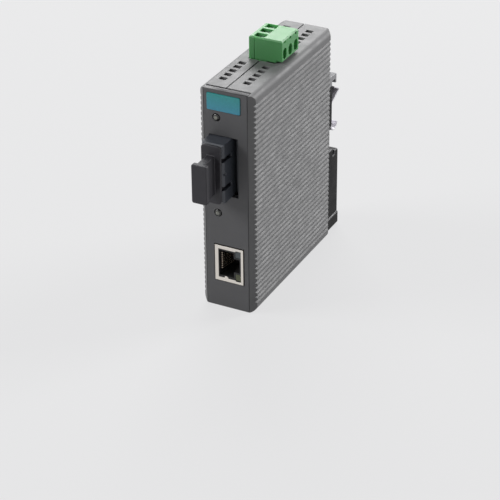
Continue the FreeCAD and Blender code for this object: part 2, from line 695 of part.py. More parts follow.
# ------------------------------------------------------------- transceiver
def transceiver():
    seat_y = PANEL_BACK + SEAT_GAP
    port_end = NOSE_TIP + PORT_DEPTH
    nose = centred(NOSE_X, NOSE_X1 - NOSE_X0, NOSE_TIP, seat_y + 1, NOSE_Z, NOSE_W)
    rim = [e for e in nose.Edges if max(v.Y for v in e.Vertexes) < NOSE_TIP + 0.01]
    nose = nose.makeChamfer(NOSE_BEVEL, rim)
    module = box(NOSE_X0, MODULE_X1, seat_y, NOSE_TIP + MODULE_D,
                 NOSE_Z - MODULE_W / 2, NOSE_Z + MODULE_W / 2)
    posts = []
    for side in (-1, 1):
        z = NOSE_Z + side * (MODULE_W / 2 - POST_INSET)
        posts.append(box(MODULE_X1 - POST_SINK, BOARD_FACE_X, POST_Y - POST_SQ / 2, POST_Y + POST_SQ / 2,
                         z - POST_SQ / 2, z + POST_SQ / 2))
    room = [box(NOSE_X1 - DIVIDER_DEPTH, NOSE_X1 + 1, NOSE_TIP - 1, NOSE_TIP + DIVIDER_L,
                NOSE_Z - DIVIDER_W / 2, NOSE_Z + DIVIDER_W / 2)]
    sleeves = []
    for z in PORT_ZS:
        room.append(centred(NOSE_X, PORT_H, NOSE_TIP - 1, port_end, z, PORT_W))
        room.append(box(NOSE_X + PORT_H / 2 - 1, NOSE_X1 + 1, NOSE_TIP - 1, FRONT - KEYWAY_STOP,
                        z - KEYWAY_W / 2, z + KEYWAY_W / 2))
        start = V(NOSE_X, port_end + SLEEVE_SINK - SLEEVE_L, z)
        sleeve = Part.makeCylinder(SLEEVE_R, SLEEVE_L, start, V(0, 1, 0))
        bore = Part.makeCylinder(SLEEVE_BORE_R, SLEEVE_L - SLEEVE_FLOOR, start, V(0, 1, 0))
        room.append(sleeve)
        sleeves.append(sleeve.cut(bore))
    save("transceiver", cut(nose.fuse([module] + posts), *room).removeSplitter())
    save("ferrule_sleeves", *sleeves)
    save("transceiver_leads", *[lead(LEAD_Y, z, LEAD_SQ, MODULE_X1) for z in lead_places()])


def dust_plug():
    """One moulding: two hollow plugs, a flange over the nose, a stem and a grip."""
    flange_back = NOSE_TIP - SEAT_GAP
    flange_y = flange_back - CAP_FLANGE_T
    grip_y = NOSE_TIP - GRIP_REACH
    flange = centred(NOSE_X, CAP_FLANGE_X, flange_y, flange_back, NOSE_Z, CAP_FLANGE_W)
    flange = flange.makeFillet(CAP_CORNER_R, edges_along_y(flange))
    grip = centred(NOSE_X, GRIP_X, grip_y, grip_y + GRIP_T, NOSE_Z, GRIP_W)
    grip = grip.makeFillet(GRIP_CORNER_R, edges_along_y(grip))
    stem = centred(NOSE_X, STEM_X, grip_y, flange_back, NOSE_Z, GRIP_W)
    high = PORT_H - 2 * CAP_GAP
    wide = PORT_W - 2 * CAP_GAP
    plugs = [centred(NOSE_X, high, flange_y, NOSE_TIP + CAP_DEPTH, z, wide) for z in PORT_ZS]
    cores = [centred(NOSE_X, high - 2 * CAP_WALL, NOSE_TIP + CAP_FLOOR, NOSE_TIP + CAP_DEPTH + 1,
                     z, wide - 2 * CAP_WALL) for z in PORT_ZS]
    save("dust_plug", cut(flange.fuse(plugs + [stem, grip]), *cores).removeSplitter())


# ------------------------------------------------------------------- lamps
def lens(z):
    """Round lens that stands through the panel, with a flange behind it."""
    shank = Part.makeCylinder(LENS_R, LENS_PROUD + PANEL_T + LENS_TAIL, V(LAMP_X, FRONT - LENS_PROUD, z),
                              V(0, 1, 0))
    flange = Part.makeCylinder(LENS_FLANGE_R, LENS_FLANGE_T, V(LAMP_X, PANEL_BACK + LENS_SEAT, z),
                               V(0, 1, 0))
    return shank.fuse(flange).removeSplitter()


def lamp_leads(z):
    """Two square leads: back from the lens, then down through the board."""
    half = LEAD_SQ / 2
    back = PANEL_BACK + LENS_SEAT + LENS_FLANGE_T
    leads = []
    for s in (-1, 1):
        lz = z + s * LEAD_PITCH / 2
        run = box(LAMP_X - half, LAMP_X + half, back, LAMP_LEAD_Y + half, lz - half, lz + half)
        down = box(LAMP_X - half, BOARD_BACK_X + TAIL, LAMP_LEAD_Y - half, LAMP_LEAD_Y + half,
                   lz - half, lz + half)
        leads.append(fuse(run, down))
    return leads


def lamps():
    """Round indicator lamps behind the panel, each in a stand on the board."""
    back = PANEL_BACK + LENS_SEAT + LENS_FLANGE_T
    stands = []
    leads = []
    for name, z in (("upper_lamp", LAMP_UPPER_Z), ("lower_lamp", LAMP_LOWER_Z)):
        save(name, lens(z))
        pair = lamp_leads(z)
        stand = box(LAMP_X - STAND_HALF_X, BOARD_FACE_X, back + SEAT_GAP / 2, LAMP_LEAD_Y + STAND_REAR,
                    z - STAND_HALF_Z, z + STAND_HALF_Z)
        step = box(BOARD_FACE_X - 1, BOARD_FACE_X + 1, back, BOARD_Y0 + SEAT_GAP,
                   z - STAND_HALF_Z - 1, z + STAND_HALF_Z + 1)
        stands.append(cut(stand, step, *pair).removeSplitter())
        leads += pair
    save("lamp_stands", *stands)
    save("lamp_leads", *leads)


# ---------------------------------------------------------- power terminal
def terminal_header():
    half = TERM_W / 2
    right = SKIRT_X1 + SEAT_GAP + TUB_WALL
    tub = box(TERM_X0, right, TERM_Y - half, TERM_Y + half, TUB_Z0, RIM_Z)
    foot = box(right - TUB_WALL / 2, BOARD_FACE_X, TERM_Y - half, TERM_Y + half,
               TUB_Z0, TUB_Z0 + HEADER_FOOT_H)
    well = box(SKIRT_X0 - SEAT_GAP, SKIRT_X1 + SEAT_GAP, TERM_Y - half + TUB_WALL,
               TERM_Y + half - TUB_WALL, TUB_Z0 + TUB_FLOOR, RIM_Z + 1)
    h = PIN_SQ / 2
    pins = []
    keys = []
    for y in POLE_YS:
        rise = box(POLE_X - h, POLE_X + h, y - h, y + h, PIN_TAIL_Z - h, PIN_TOP)
        across = box(POLE_X - h, BOARD_BACK_X + TAIL, y - h, y + h, PIN_TAIL_Z - h, PIN_TAIL_Z + h)
        pins.append(fuse(rise, across))
        keys.append(box(TERM_X0 - 1, SKIRT_X0, y - KEY_W / 2, y + KEY_W / 2, RIM_Z - KEY_H, RIM_Z + 1))
    save("terminal_header", cut(fuse(tub, foot), well, *(keys + pins)).removeSplitter())
    save("header_pins", *pins)


def wire_funnel(y):
    """Round-ended wire hole from the plug's right face into a pole's chamber."""
    z0 = TERM_Z0 + WIRE_HOLE_LIFT
    z1 = z0 + WIRE_HOLE_H
    r = WIRE_HOLE_W / 2
    x0 = POLE_X + CAGE_X / 2
    run = TERM_X1 + 1 - x0
    ends = [Part.makeCylinder(r, run, V(x0, y, z), V(1, 0, 0)) for z in (z0 + r, z1 - r)]
    return fuse(box(x0, x0 + run, y - r, y + r, z0 + r, z1 - r), *ends)


def pole_room(y):
    """What is hollow in the plug for one pole, from the screw's recess to the tulip."""
    g = CAGE_GAP
    back = POLE_X - CAGE_X / 2 - STRIP_T - 2 * g
    cage = box(back, POLE_X + CAGE_X / 2 + g, y - CAGE_Y / 2 - g, y + CAGE_Y / 2 + g,
               CAGE_Z0 - g, LEDGE_Z0)
    tulip = box(back, POLE_X + TULIP_SQ / 2 + g, y - TULIP_SQ / 2 - g, y + TULIP_SQ / 2 + g,
                SKIRT_Z0 - 1, CAGE_Z0)
    shank = Part.makeCylinder(SCREW_R + SCREW_FIT, HEAD_LEDGE + 2, V(POLE_X, y, LEDGE_Z0 - 1))
    recess = box(POLE_X - RECESS_X / 2, POLE_X + RECESS_X / 2, y - RECESS_Y / 2, y + RECESS_Y / 2,
                 HEAD_Z0 - SCREW_FIT, TERM_Z1 + 1)
    peep = box(TERM_X1 - PEEP_DEPTH, TERM_X1 + 1, y - PEEP_W / 2, y + PEEP_W / 2,
               TERM_Z1 - PLUG_BEVEL - PEEP_H, TERM_Z1 - PLUG_BEVEL)
    return [cage, tulip, shank, recess, wire_funnel(y), peep]


def terminal_plug():
    half = TERM_W / 2
    wall = TUB_WALL + SEAT_GAP
    upper = box(TERM_X0, TERM_X1, TERM_Y - half, TERM_Y + half, TERM_Z0, TERM_Z1)
    crown = [e for e in upper.Edges if min(v.Z for v in e.Vertexes) > TERM_Z1 - 0.01]
    upper = upper.makeChamfer(PLUG_BEVEL, crown)
    skirt = box(SKIRT_X0, SKIRT_X1, TERM_Y - half + wall, TERM_Y + half - wall,
                SKIRT_Z0, TERM_Z0 + SEAT_GAP)
    room = [box(BOARD_FACE_X + RELIEF_STEP, TERM_X1 + 1, TERM_Y - half - 1, TERM_Y + half + 1,
                TERM_Z0 - 1, TERM_Z0 + RELIEF_H)]
    for side in (-1, 1):
        face = TERM_Y + side * half
        room.append(box(TERM_X0 + MARK_X, TERM_X0 + MARK_X + MARK_W, face - MARK_DEPTH,
                        face + MARK_DEPTH, TERM_Z0 - 1, TERM_Z1 + 1))
    for y in POLE_YS:
        room += pole_room(y)
    save("terminal_plug", cut(fuse(upper, skirt), *room).removeSplitter())


def plug_contact(y):
    """Strip under the screw, bent down a leg and along a shelf to a slit tulip."""
    h = TULIP_SQ / 2
    inner = h - TULIP_WALL
    back = POLE_X - CAGE_X / 2 - CAGE_GAP
    tulip_top = CAGE_Z0 - TULIP_DROP
    end = tulip_top - TULIP_H
    strip = box(back - STRIP_T, POLE_X + CAGE_X / 2, y - STRIP_W / 2, y + STRIP_W / 2,
                STRIP_Z0, STRIP_Z1)
    leg = box(back - STRIP_T, back, y - h, y + h, tulip_top - SHELF_T, STRIP_Z1)
    shelf = box(back - STRIP_T, POLE_X - inner, y - h, y + h, tulip_top - SHELF_T, tulip_top)
    tulip = box(POLE_X - h, POLE_X + h, y - h, y + h, end, tulip_top)
    hollow = box(POLE_X - inner, POLE_X + inner, y - inner, y + inner, end - 1, tulip_top + 1)
    slits = box(POLE_X - SLIT_W / 2, POLE_X + SLIT_W / 2, y - h - 1, y + h + 1,
                end - 1, CAGE_Z0 - SLIT_ROOT)
    return fuse(strip, leg, shelf, tulip.cut([hollow, slits]))


def clamp_screw(y):
    """Slotted screw held by its head; its shank runs through the cage's top."""
    top = HEAD_Z0 + SCREW_HEAD_T
    tip = STRIP_Z1 + SCREW_END_GAP
    head = Part.makeCylinder(SCREW_HEAD_R, SCREW_HEAD_T, V(POLE_X, y, HEAD_Z0))
    shank = Part.makeCylinder(SCREW_R, HEAD_Z0 - tip, V(POLE_X, y, tip))
    slot = box(POLE_X - SCREW_HEAD_R - 1, POLE_X + SCREW_HEAD_R + 1, y - SCREW_SLOT_W / 2,
               y + SCREW_SLOT_W / 2, top - SCREW_SLOT_DEPTH, top + 1)
    return head.fuse(shank).removeSplitter().cut(slot)


def clamp_cage(y):
    """Open-ended box, thick at the top where the screw passes, that lifts the wire."""
    hx = CAGE_X / 2
    hy = CAGE_Y / 2
    frame = box(POLE_X - hx, POLE_X + hx, y - hy, y + hy, CAGE_Z0, CAGE_Z1)
    through = box(POLE_X - hx - 1, POLE_X + hx + 1, y - hy + CAGE_WALL, y + hy - CAGE_WALL,
                  CAGE_Z0 + CAGE_PLATE, CAGE_Z1 - CAGE_PLATE)
    hole = Part.makeCylinder(SCREW_R + SCREW_FIT, CAGE_PLATE + 2, V(POLE_X, y, CAGE_Z1 - CAGE_PLATE - 1))
    return cut(frame, through, hole)


def plug_fittings():
    save("plug_contacts", *[plug_contact(y) for y in POLE_YS])
    for i, y in enumerate(POLE_YS, 1):
        save("clamp_screw_%d" % i, clamp_screw(y))
        save("clamp_cage_%d" % i, clamp_cage(y))


# -------------------------------------------------------------- rail mount
def plate_outline():
    """Side view of the rail plate, from the rear face outwards."""
    def at(out, z):
        return V(-RAIL_PLATE_W / 2, REAR + out, z)

    top = RAIL_PLATE_Z1
    lip = HEEL_T - HEEL_LIP_T
    back = lip - HEEL_GROOVE
    shoulder = HEEL_Z1 + HEEL_SHOULDER
    ledge_in = LEDGE_REACH - LEDGE_LIP_T
    return [at(0, RAIL_PLATE_Z0), at(HEEL_T, RAIL_PLATE_Z0), at(HEEL_T, HEEL_Z1 - HEEL_BEVEL),
            at(HEEL_T - HEEL_BEVEL, HEEL_Z1), at(lip, HEEL_Z1), at(lip, HEEL_Z1 - HEEL_GROOVE_DEPTH),
            at(back, HEEL_Z1 - HEEL_GROOVE_DEPTH), at(back, shoulder),
            at(back - HEEL_SLOPE, shoulder + HEEL_SLOPE), at(RAIL_PLATE_T, shoulder + HEEL_SLOPE),
            at(RAIL_PLATE_T, RAIL_PAD_Z - PAD_SLOPE), at(RAIL_PAD_T, RAIL_PAD_Z),
            at(RAIL_PAD_T, top - LEDGE_T), at(ledge_in, top - LEDGE_T), at(ledge_in, top - LEDGE_LIP_H),
            at(LEDGE_REACH, top - LEDGE_LIP_H), at(LEDGE_REACH, top - LEDGE_BEVEL),
            at(LEDGE_REACH - LEDGE_BEVEL, top), at(0, top)]


def rail_plate():
    """Moulded plate on the rear: thick heel with a lip below, ledge with a lip above."""
    plate = prism(plate_outline(), V(RAIL_PLATE_W, 0, 0))
    foot_half = RAIL_PLATE_W / 2 + FOOT_STEP
    foot = box(-foot_half, foot_half, REAR, REAR + HEEL_T, RAIL_PLATE_Z0, RAIL_PLATE_Z0 + FOOT_H)
    inner = RAIL_PLATE_W / 2 - HEEL_WALL
    core_z1 = HEEL_Z1 - HEEL_GROOVE_DEPTH - HEEL_WALL
    room = [box(x0, x1, REAR - 1, REAR + HEEL_T - HEEL_WALL, RAIL_PLATE_Z0 + HEEL_WALL, core_z1)
            for x0, x1 in ((-inner, -HEEL_WALL / 2), (HEEL_WALL / 2, inner))]
    for side in (-1, 1):
        screw = V(SEAM_X + side * PLATE_SCREW_X, REAR - 1, PLATE_SCREW_Z)
        room.append(Part.makeCylinder(PLATE_SCREW_R + PLATE_SCREW_FIT, HEEL_T, screw, V(0, 1, 0)))
        room.append(Part.makeCylinder(RIVET_R, HEEL_T,
                                      V(side * RIVET_PITCH / 2, REAR + RIVET_START, RIVET_Z), V(0, 1, 0)))
    save("rail_plate", cut(fuse(plate, foot), *room).removeSplitter())


def strip_along(points, thickness, width):
    """Strip of even thickness along straight runs in a plane of Y and Z, mitred at the bends."""
    left = []
    right = []
    last = len(points) - 1
    for i, p in enumerate(points):
        before = (p - points[i - 1]).normalize() if i else (points[1] - p).normalize()
        after = (points[i + 1] - p).normalize() if i < last else before
        normal = V(0, before.z + after.z, -before.y - after.y).normalize()
        half = thickness / 2 / normal.dot(V(0, before.z, -before.y))
        left.append(p + normal * half)
        right.append(p - normal * half)
    return prism(left + right[::-1], V(width, 0, 0))


def rail_spring():
    """Formed strip: curled tab below, flat land on the plate, V-shaped catch above."""
    land = REAR + RAIL_PAD_T + SPRING_SEAT
    mid = land + SPRING_T / 2
    x0 = -SPRING_W / 2
    path = []
    for i in range(SPRING_CURL_STEPS, -1, -1):
        angle = math.pi * (1 + i / SPRING_CURL_STEPS)
        path.append(V(x0, mid + SPRING_CURL_R * (1 + math.cos(angle)),
                      SPRING_CURL_Z + SPRING_CURL_R * math.sin(angle)))
    path += [V(x0, mid, SPRING_LAND_Z), V(x0, REAR + SPRING_TIP_OUT - SPRING_T, SPRING_TIP_Z),
             V(x0, REAR + SPRING_END_OUT, SPRING_END_Z)]
    holes = []
    rivets = []
    for side in (-1, 1):
        x = side * RIVET_PITCH / 2
        start = V(x, REAR + RIVET_START, RIVET_Z)
        shank = Part.makeCylinder(RIVET_R, land + SPRING_T - start.y, start, V(0, 1, 0))
        head = Part.makeCylinder(RIVET_HEAD_R, RIVET_HEAD_T, V(x, land + SPRING_T, RIVET_Z), V(0, 1, 0))
        holes.append(shank)
        rivets.append(shank.fuse(head).removeSplitter())
    save("rail_spring", cut(strip_along(path, SPRING_T, SPRING_W), *holes))
    save("spring_rivets", *rivets)


def rail_plate_screws():
    """Two cross-head screws through the plate into the shells' bosses."""
    seat = REAR + RAIL_PLATE_T
    top = seat + PLATE_HEAD_T
    screws = []
    for side in (-1, 1):
        x = SEAM_X + side * PLATE_SCREW_X
        shank = Part.makeCylinder(PLATE_SCREW_R - BOSS_FIT, PLATE_SCREW_L,
                                  V(x, seat - PLATE_SCREW_L, PLATE_SCREW_Z), V(0, 1, 0))
        head = Part.makeCylinder(PLATE_HEAD_R, PLATE_HEAD_T, V(x, seat, PLATE_SCREW_Z), V(0, 1, 0))
        cross = [centred(x, a, top - CROSS_DEPTH, top + 1, PLATE_SCREW_Z, b)
                 for a, b in ((CROSS_L, CROSS_W), (CROSS_W, CROSS_L))]
        screws.append(cut(shank.fuse(head).removeSplitter(), *cross))
    save("rail_plate_screws", *screws)


# -------------------------------------------------------- board components
def board_part(y, dy, z, dz, height):
    """Block standing on the board's component side."""
    return box(BOARD_FACE_X - height, BOARD_FACE_X, y - dy / 2, y + dy / 2, z - dz / 2, z + dz / 2)


def flat_pack(name, y, z, size, count, pitch):
    """Square chip body and its short leads on all four sides."""
    half = size / 2
    far = half + CHIP_LEAD_L
    w = CHIP_LEAD_W / 2
    x0 = BOARD_FACE_X - CHIP_LEAD_T
    leads = []
    for i in range(count):
        o = (i - (count - 1) / 2) * pitch
        leads += [box(x0, BOARD_FACE_X, y + half, y + far, z + o - w, z + o + w),
                  box(x0, BOARD_FACE_X, y - far, y - half, z + o - w, z + o + w),
                  box(x0, BOARD_FACE_X, y + o - w, y + o + w, z + half, z + far),
                  box(x0, BOARD_FACE_X, y + o - w, y + o + w, z - far, z - half)]
    save(name, box(BOARD_FACE_X - CHIP_H, BOARD_FACE_X - CHIP_SEAT, y - half, y + half, z - half, z + half))
    save(name + "_leads", *leads)


def signal_parts():
    """Transformer, chips, clock and small capacitors between the sockets."""
    transformer_y = JACK_REAR + TRANSFORMER_GAP + TRANSFORMER_Y / 2
    save("isolation_transformer",
         board_part(transformer_y, TRANSFORMER_Y, JACK_Z, TRANSFORMER_Z, TRANSFORMER_H))
    converter_y = transformer_y + TRANSFORMER_Y / 2 + CONVERTER_GAP + CONVERTER_W / 2
    flat_pack("converter_chip", converter_y, JACK_Z, CONVERTER_W, CONVERTER_LEAD_COUNT, CONVERTER_PITCH)
    flat_pack("network_chip", NETWORK_Y, NETWORK_Z, NETWORK_W, NETWORK_LEAD_COUNT, NETWORK_PITCH)
    clock = board_part(CRYSTAL_Y, CRYSTAL_L, JACK_Z + CRYSTAL_RISE, CRYSTAL_W, CRYSTAL_H)
    save("clock_crystal", clock.makeFillet(CRYSTAL_R, edges_along_x(clock)))
    gap_y = transformer_y + (TRANSFORMER_Y + CONVERTER_GAP - CHIP_LEAD_L) / 2
    gap_z = JACK_Z - TRANSFORMER_Z / 2
    chips = []
    for i in range(SMALL_COUNT):
        rise = SMALL_PITCH * i
        chips.append(board_part(gap_y, SMALL_W, gap_z + rise, SMALL_L, SMALL_H))
        chips.append(board_part(SMALL_COLUMN_Y, SMALL_W, JACK_Z + SMALL_COLUMN_RISE + rise,
                                SMALL_L, SMALL_H))
    save("chip_capacitors", *chips)


def power_parts():
    """Inductor, regulator, capacitors and fuse below the power terminal."""
    coil = board_part(POWER_Y, INDUCTOR_W, INDUCTOR_Z, INDUCTOR_W, INDUCTOR_H)
    save("power_inductor", coil.makeChamfer(INDUCTOR_BEVEL, edges_along_x(coil)))
    regulator_y = POWER_Y - INDUCTOR_W / 2 - REGULATOR_GAP - REGULATOR_Y / 2
    save("power_regulator", board_part(regulator_y, REGULATOR_Y, INDUCTOR_Z, INDUCTOR_W, REGULATOR_H))
    cans = [Part.makeCylinder(CAPACITOR_R, CAPACITOR_H,
                              V(BOARD_FACE_X - CAPACITOR_H, y, BODY_H - CAPACITOR_DROP), V(1, 0, 0))
            for y in (POWER_Y, POWER_Y - CAPACITOR_PITCH)]
    save("bulk_capacitors", *cans)
    fuse_z = BODY_H - FUSE_DROP
    disc = board_part(FUSE_Y, FUSE_W, fuse_z, FUSE_L, FUSE_H)
    save("input_fuse", disc.makeChamfer(FUSE_CORNER, edges_along_x(disc)))


shells()
front_panel()
main_board()
network_socket()
transceiver()
dust_plug()
lamps()
terminal_header()
terminal_plug()
plug_fittings()
rail_plate()
rail_spring()
rail_plate_screws()
signal_parts()
power_parts()
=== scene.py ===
"""Looks of the slim fibre media converter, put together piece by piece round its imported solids."""
import json
import math

import bmesh
import bpy
import numpy as np
from mathutils import Matrix, Vector

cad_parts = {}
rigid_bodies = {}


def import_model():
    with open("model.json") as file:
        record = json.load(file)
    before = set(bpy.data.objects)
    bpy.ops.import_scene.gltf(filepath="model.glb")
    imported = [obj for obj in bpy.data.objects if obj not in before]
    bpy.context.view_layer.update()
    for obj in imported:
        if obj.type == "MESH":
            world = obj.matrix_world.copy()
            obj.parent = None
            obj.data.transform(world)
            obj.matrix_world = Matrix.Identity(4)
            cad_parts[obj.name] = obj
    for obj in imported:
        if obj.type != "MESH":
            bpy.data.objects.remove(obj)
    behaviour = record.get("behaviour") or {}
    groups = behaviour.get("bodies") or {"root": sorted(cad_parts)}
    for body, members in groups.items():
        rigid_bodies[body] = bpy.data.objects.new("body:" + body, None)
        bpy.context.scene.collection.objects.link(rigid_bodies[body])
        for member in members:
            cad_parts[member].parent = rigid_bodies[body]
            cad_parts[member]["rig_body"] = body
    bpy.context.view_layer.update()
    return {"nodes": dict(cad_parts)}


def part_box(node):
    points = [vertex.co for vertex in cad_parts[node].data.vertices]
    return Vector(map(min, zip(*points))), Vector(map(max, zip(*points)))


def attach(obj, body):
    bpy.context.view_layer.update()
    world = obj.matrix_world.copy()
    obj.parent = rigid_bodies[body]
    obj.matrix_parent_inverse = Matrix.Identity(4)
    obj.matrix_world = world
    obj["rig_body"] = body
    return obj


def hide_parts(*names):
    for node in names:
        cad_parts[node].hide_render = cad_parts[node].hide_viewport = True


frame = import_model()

# ---------------------------------------------------------------- camera
# A long lens above and to the right of the front panel, so that the front,
# the ribbed right side and the vented top are all in view, nearly parallel.
MM = 0.001
AZIMUTH = math.radians(27.19)
ELEVATION = math.radians(29.87)
ROLL = math.radians(-0.59)
DISTANCE = 793.55 * MM
AIM = Vector((0, 0, 50 * MM))
PAN = -7.57 * MM
RISE = -35.95 * MM


def toward(azimuth, elevation):
    """Unit vector (sin a cos e, -cos a cos e, sin e) out at azimuth a from the front, up by e."""
    return Vector((math.sin(azimuth) * math.cos(elevation),
                   -math.cos(azimuth) * math.cos(elevation), math.sin(elevation)))


back = toward(AZIMUTH, ELEVATION)
level = Vector((math.cos(AZIMUTH), math.sin(AZIMUTH), 0))
above = back.cross(level)
right = level * math.cos(ROLL) + above * math.sin(ROLL)
up = above * math.cos(ROLL) - level * math.sin(ROLL)
camera = bpy.data.objects.new("camera", bpy.data.cameras.new("camera"))
camera.data.lens = 135.0
camera.data.sensor_width = 36.0
camera.data.clip_start = 50 * MM
camera.matrix_world = (Matrix.Translation(AIM + PAN * right + RISE * up + DISTANCE * back)
                       @ Matrix((right, up, back)).transposed().to_4x4())
bpy.context.collection.objects.link(camera)
bpy.context.scene.camera = camera
bpy.context.scene.view_settings.view_transform = "Standard"


# ----------------------------------------------------- floor and light
# A plain pale floor and a pale surround. One soft lamp stands low behind the
# right, one lights the front from the left, and one glances over the top.
def linear(code, part=1.0):
    """Linear colour, with alpha, of an sRGB hex value, multiplied by a part."""
    channels = [int(code[i:i + 2], 16) / 255 for i in (1, 3, 5)]
    return [part * (c / 12.92 if c <= 0.04045 else ((c + 0.055) / 1.055) ** 2.4)
            for c in channels] + [1.0]


def feed(tree, node, sockets):
    """Gives each socket of a node its value, or the output of another node."""
    for key, value in sockets.items():
        if isinstance(value, bpy.types.NodeSocket):
            tree.links.new(value, node.inputs[key])
        else:
            node.inputs[key].default_value = value


def add(tree, kind, sockets=None, **settings):
    """Adds a shader node with its settings, and feeds its sockets."""
    node = tree.nodes.new("ShaderNode" + kind)
    for name, value in settings.items():
        setattr(node, name, value)
    feed(tree, node, sockets or {})
    return node


def finish_of(name):
    """A new material with an empty node tree: its tree and its Principled shader."""
    made = bpy.data.materials.new(name)
    made.use_nodes = True
    tree = made.node_tree
    tree.nodes.clear()
    shader = add(tree, "BsdfPrincipled")
    add(tree, "OutputMaterial", {"Surface": shader.outputs["BSDF"]})
    return made, tree, shader


def seen_directly(tree):
    """1 for a ray from the eye, a reflection or clear glass, 0 for light going to a surface."""
    path = add(tree, "LightPath")
    eye = add(tree, "Math", {0: path.outputs["Is Camera Ray"], 1: path.outputs["Is Glossy Ray"]},
              operation="MAXIMUM")
    return add(tree, "Math", {0: eye.outputs[0], 1: path.outputs["Is Transmission Ray"]},
               operation="MAXIMUM").outputs[0]


def surround():
    """World that eyes, gloss and glass see as pale, and that lights the object only a little."""
    world = bpy.data.worlds.new("pale surround")
    world.use_nodes = True
    tree = world.node_tree
    tree.nodes.clear()
    soft = add(tree, "Background", {"Color": linear("#f2f3f5"), "Strength": AMBIENT})
    pale = add(tree, "Background", {"Color": linear(BACKDROP), "Strength": 1.0})
    mixed = add(tree, "MixShader",
                {0: seen_directly(tree), 1: soft.outputs[0], 2: pale.outputs[0]})
    add(tree, "OutputWorld", {"Surface": mixed.outputs[0]})
    bpy.context.scene.world = world


def pale_floor():
    """Matt card under the object; seen directly it is partly as even and pale as the backdrop."""
    half = 6.0
    mesh = bpy.data.meshes.new("floor")
    mesh.from_pydata([(-half, -half, 0), (half, -half, 0), (half, half, 0), (-half, half, 0)],
                     [], [(0, 1, 2, 3)])
    made = bpy.data.objects.new("floor", mesh)
    made.location.z = -0.1 * MM
    bpy.context.collection.objects.link(made)
    card, tree, shader = finish_of("matt card, floor")
    feed(tree, shader, {"Base Color": linear("#c8c8c8"), "Roughness": 0.9,
                        "Specular IOR Level": 0.2})
    even = add(tree, "Emission", {"Color": linear(BACKDROP), "Strength": 1.0})
    share = add(tree, "Math", {0: seen_directly(tree), 1: FLOOR_EVEN}, operation="MULTIPLY")
    both = add(tree, "MixShader",
               {0: share.outputs[0], 1: shader.outputs["BSDF"], 2: even.outputs[0]})
    feed(tree, tree.nodes["Material Output"], {"Surface": both.outputs[0]})
    mesh.materials.append(card)


def soft_lamp(name, azimuth, elevation, reach, size, power):
    """Square area lamp at an azimuth and elevation, in degrees, facing the object's middle."""
    out = toward(math.radians(azimuth), math.radians(elevation))
    light = bpy.data.lights.new(name, "AREA")
    light.size = size
    light.energy = power
    made = bpy.data.objects.new(name, light)
    made.location = AIM + out * reach
    made.rotation_euler = out.to_track_quat("Z", "Y").to_euler()
    bpy.context.collection.objects.link(made)


AMBIENT = 0.12
BACKDROP = "#ededee"
FLOOR_EVEN = 0.8
surround()
pale_floor()
soft_lamp("side lamp, low behind the right", azimuth=142, elevation=25, reach=1.6, size=0.6,
          power=17)
soft_lamp("front lamp, left", azimuth=-60, elevation=32, reach=1.8, size=0.8, power=18)
soft_lamp("top lamp, behind the left", azimuth=207, elevation=35, reach=1.6, size=1.0, power=18.5)


# --------------------------------------------------------------- shells
# Two half shells moulded in charcoal ABS from a spark-eroded tool, which
# leaves a fine even grain; ribs, vent slots and the long edges are rounded
# a little, and the two meet in a shallow V along the parting line.
def moulded(name, colour, rough, grain=0.5, depth=0.02, drift=0.06, gloss=0.5, glow=0.0):
    """Moulded plastic: shade that drifts over 14 mm, polish that varies over 5 mm, a tool grain
    of a size and depth in mm, and light in its skin."""
    made, tree, shader = finish_of(name)
    place = add(tree, "TexCoord").outputs["Object"]
    cloud = add(tree, "TexNoise", {"Vector": place, "Scale": 1 / (14 * MM), "Detail": 3.0})
    shade = add(tree, "Mix", {"Factor": cloud.outputs["Fac"], 6: linear(colour, 1 - drift),
                              7: linear(colour, 1 + drift)}, data_type="RGBA")
    smear = add(tree, "TexNoise", {"Vector": place, "Scale": 1 / (5 * MM), "Detail": 4.0})
    polish = add(tree, "MapRange", {"Value": smear.outputs["Fac"], "From Min": 0.3,
                                    "From Max": 0.7, "To Min": rough - 0.05,
                                    "To Max": rough + 0.06})
    # Real tool grain is 0.05 to 0.1 mm across; it is drawn several times coarser, so it shows.
    spark = add(tree, "TexNoise", {"Vector": place, "Scale": 1 / (grain * MM), "Detail": 2.0})
    bump = add(tree, "Bump", {"Height": spark.outputs["Fac"], "Distance": depth * MM,
                              "Strength": 1.0})
    feed(tree, shader, {"Base Color": shade.outputs[2], "Roughness": polish.outputs["Result"],
                        "Normal": bump.outputs["Normal"], "Specular IOR Level": gloss})
    if glow:
        feed(tree, shader, {"Subsurface Weight": glow, "Subsurface Radius": (0.5, 1.0, 0.5),
                            "Subsurface Scale": 2.0 * MM})
    return made


def box_mm(node):
    """Lowest and highest corners of a CAD node at rest, in mm."""
    return np.array(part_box(node)) / MM


def stand_for(made, node, material):
    """Links a piece in place of a CAD node, with a material, riding on that node's body."""
    made.data.materials.clear()
    made.data.materials.append(material)
    bpy.context.collection.objects.link(made)
    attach(made, frame["nodes"][node]["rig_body"])
    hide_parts(node)
    return made


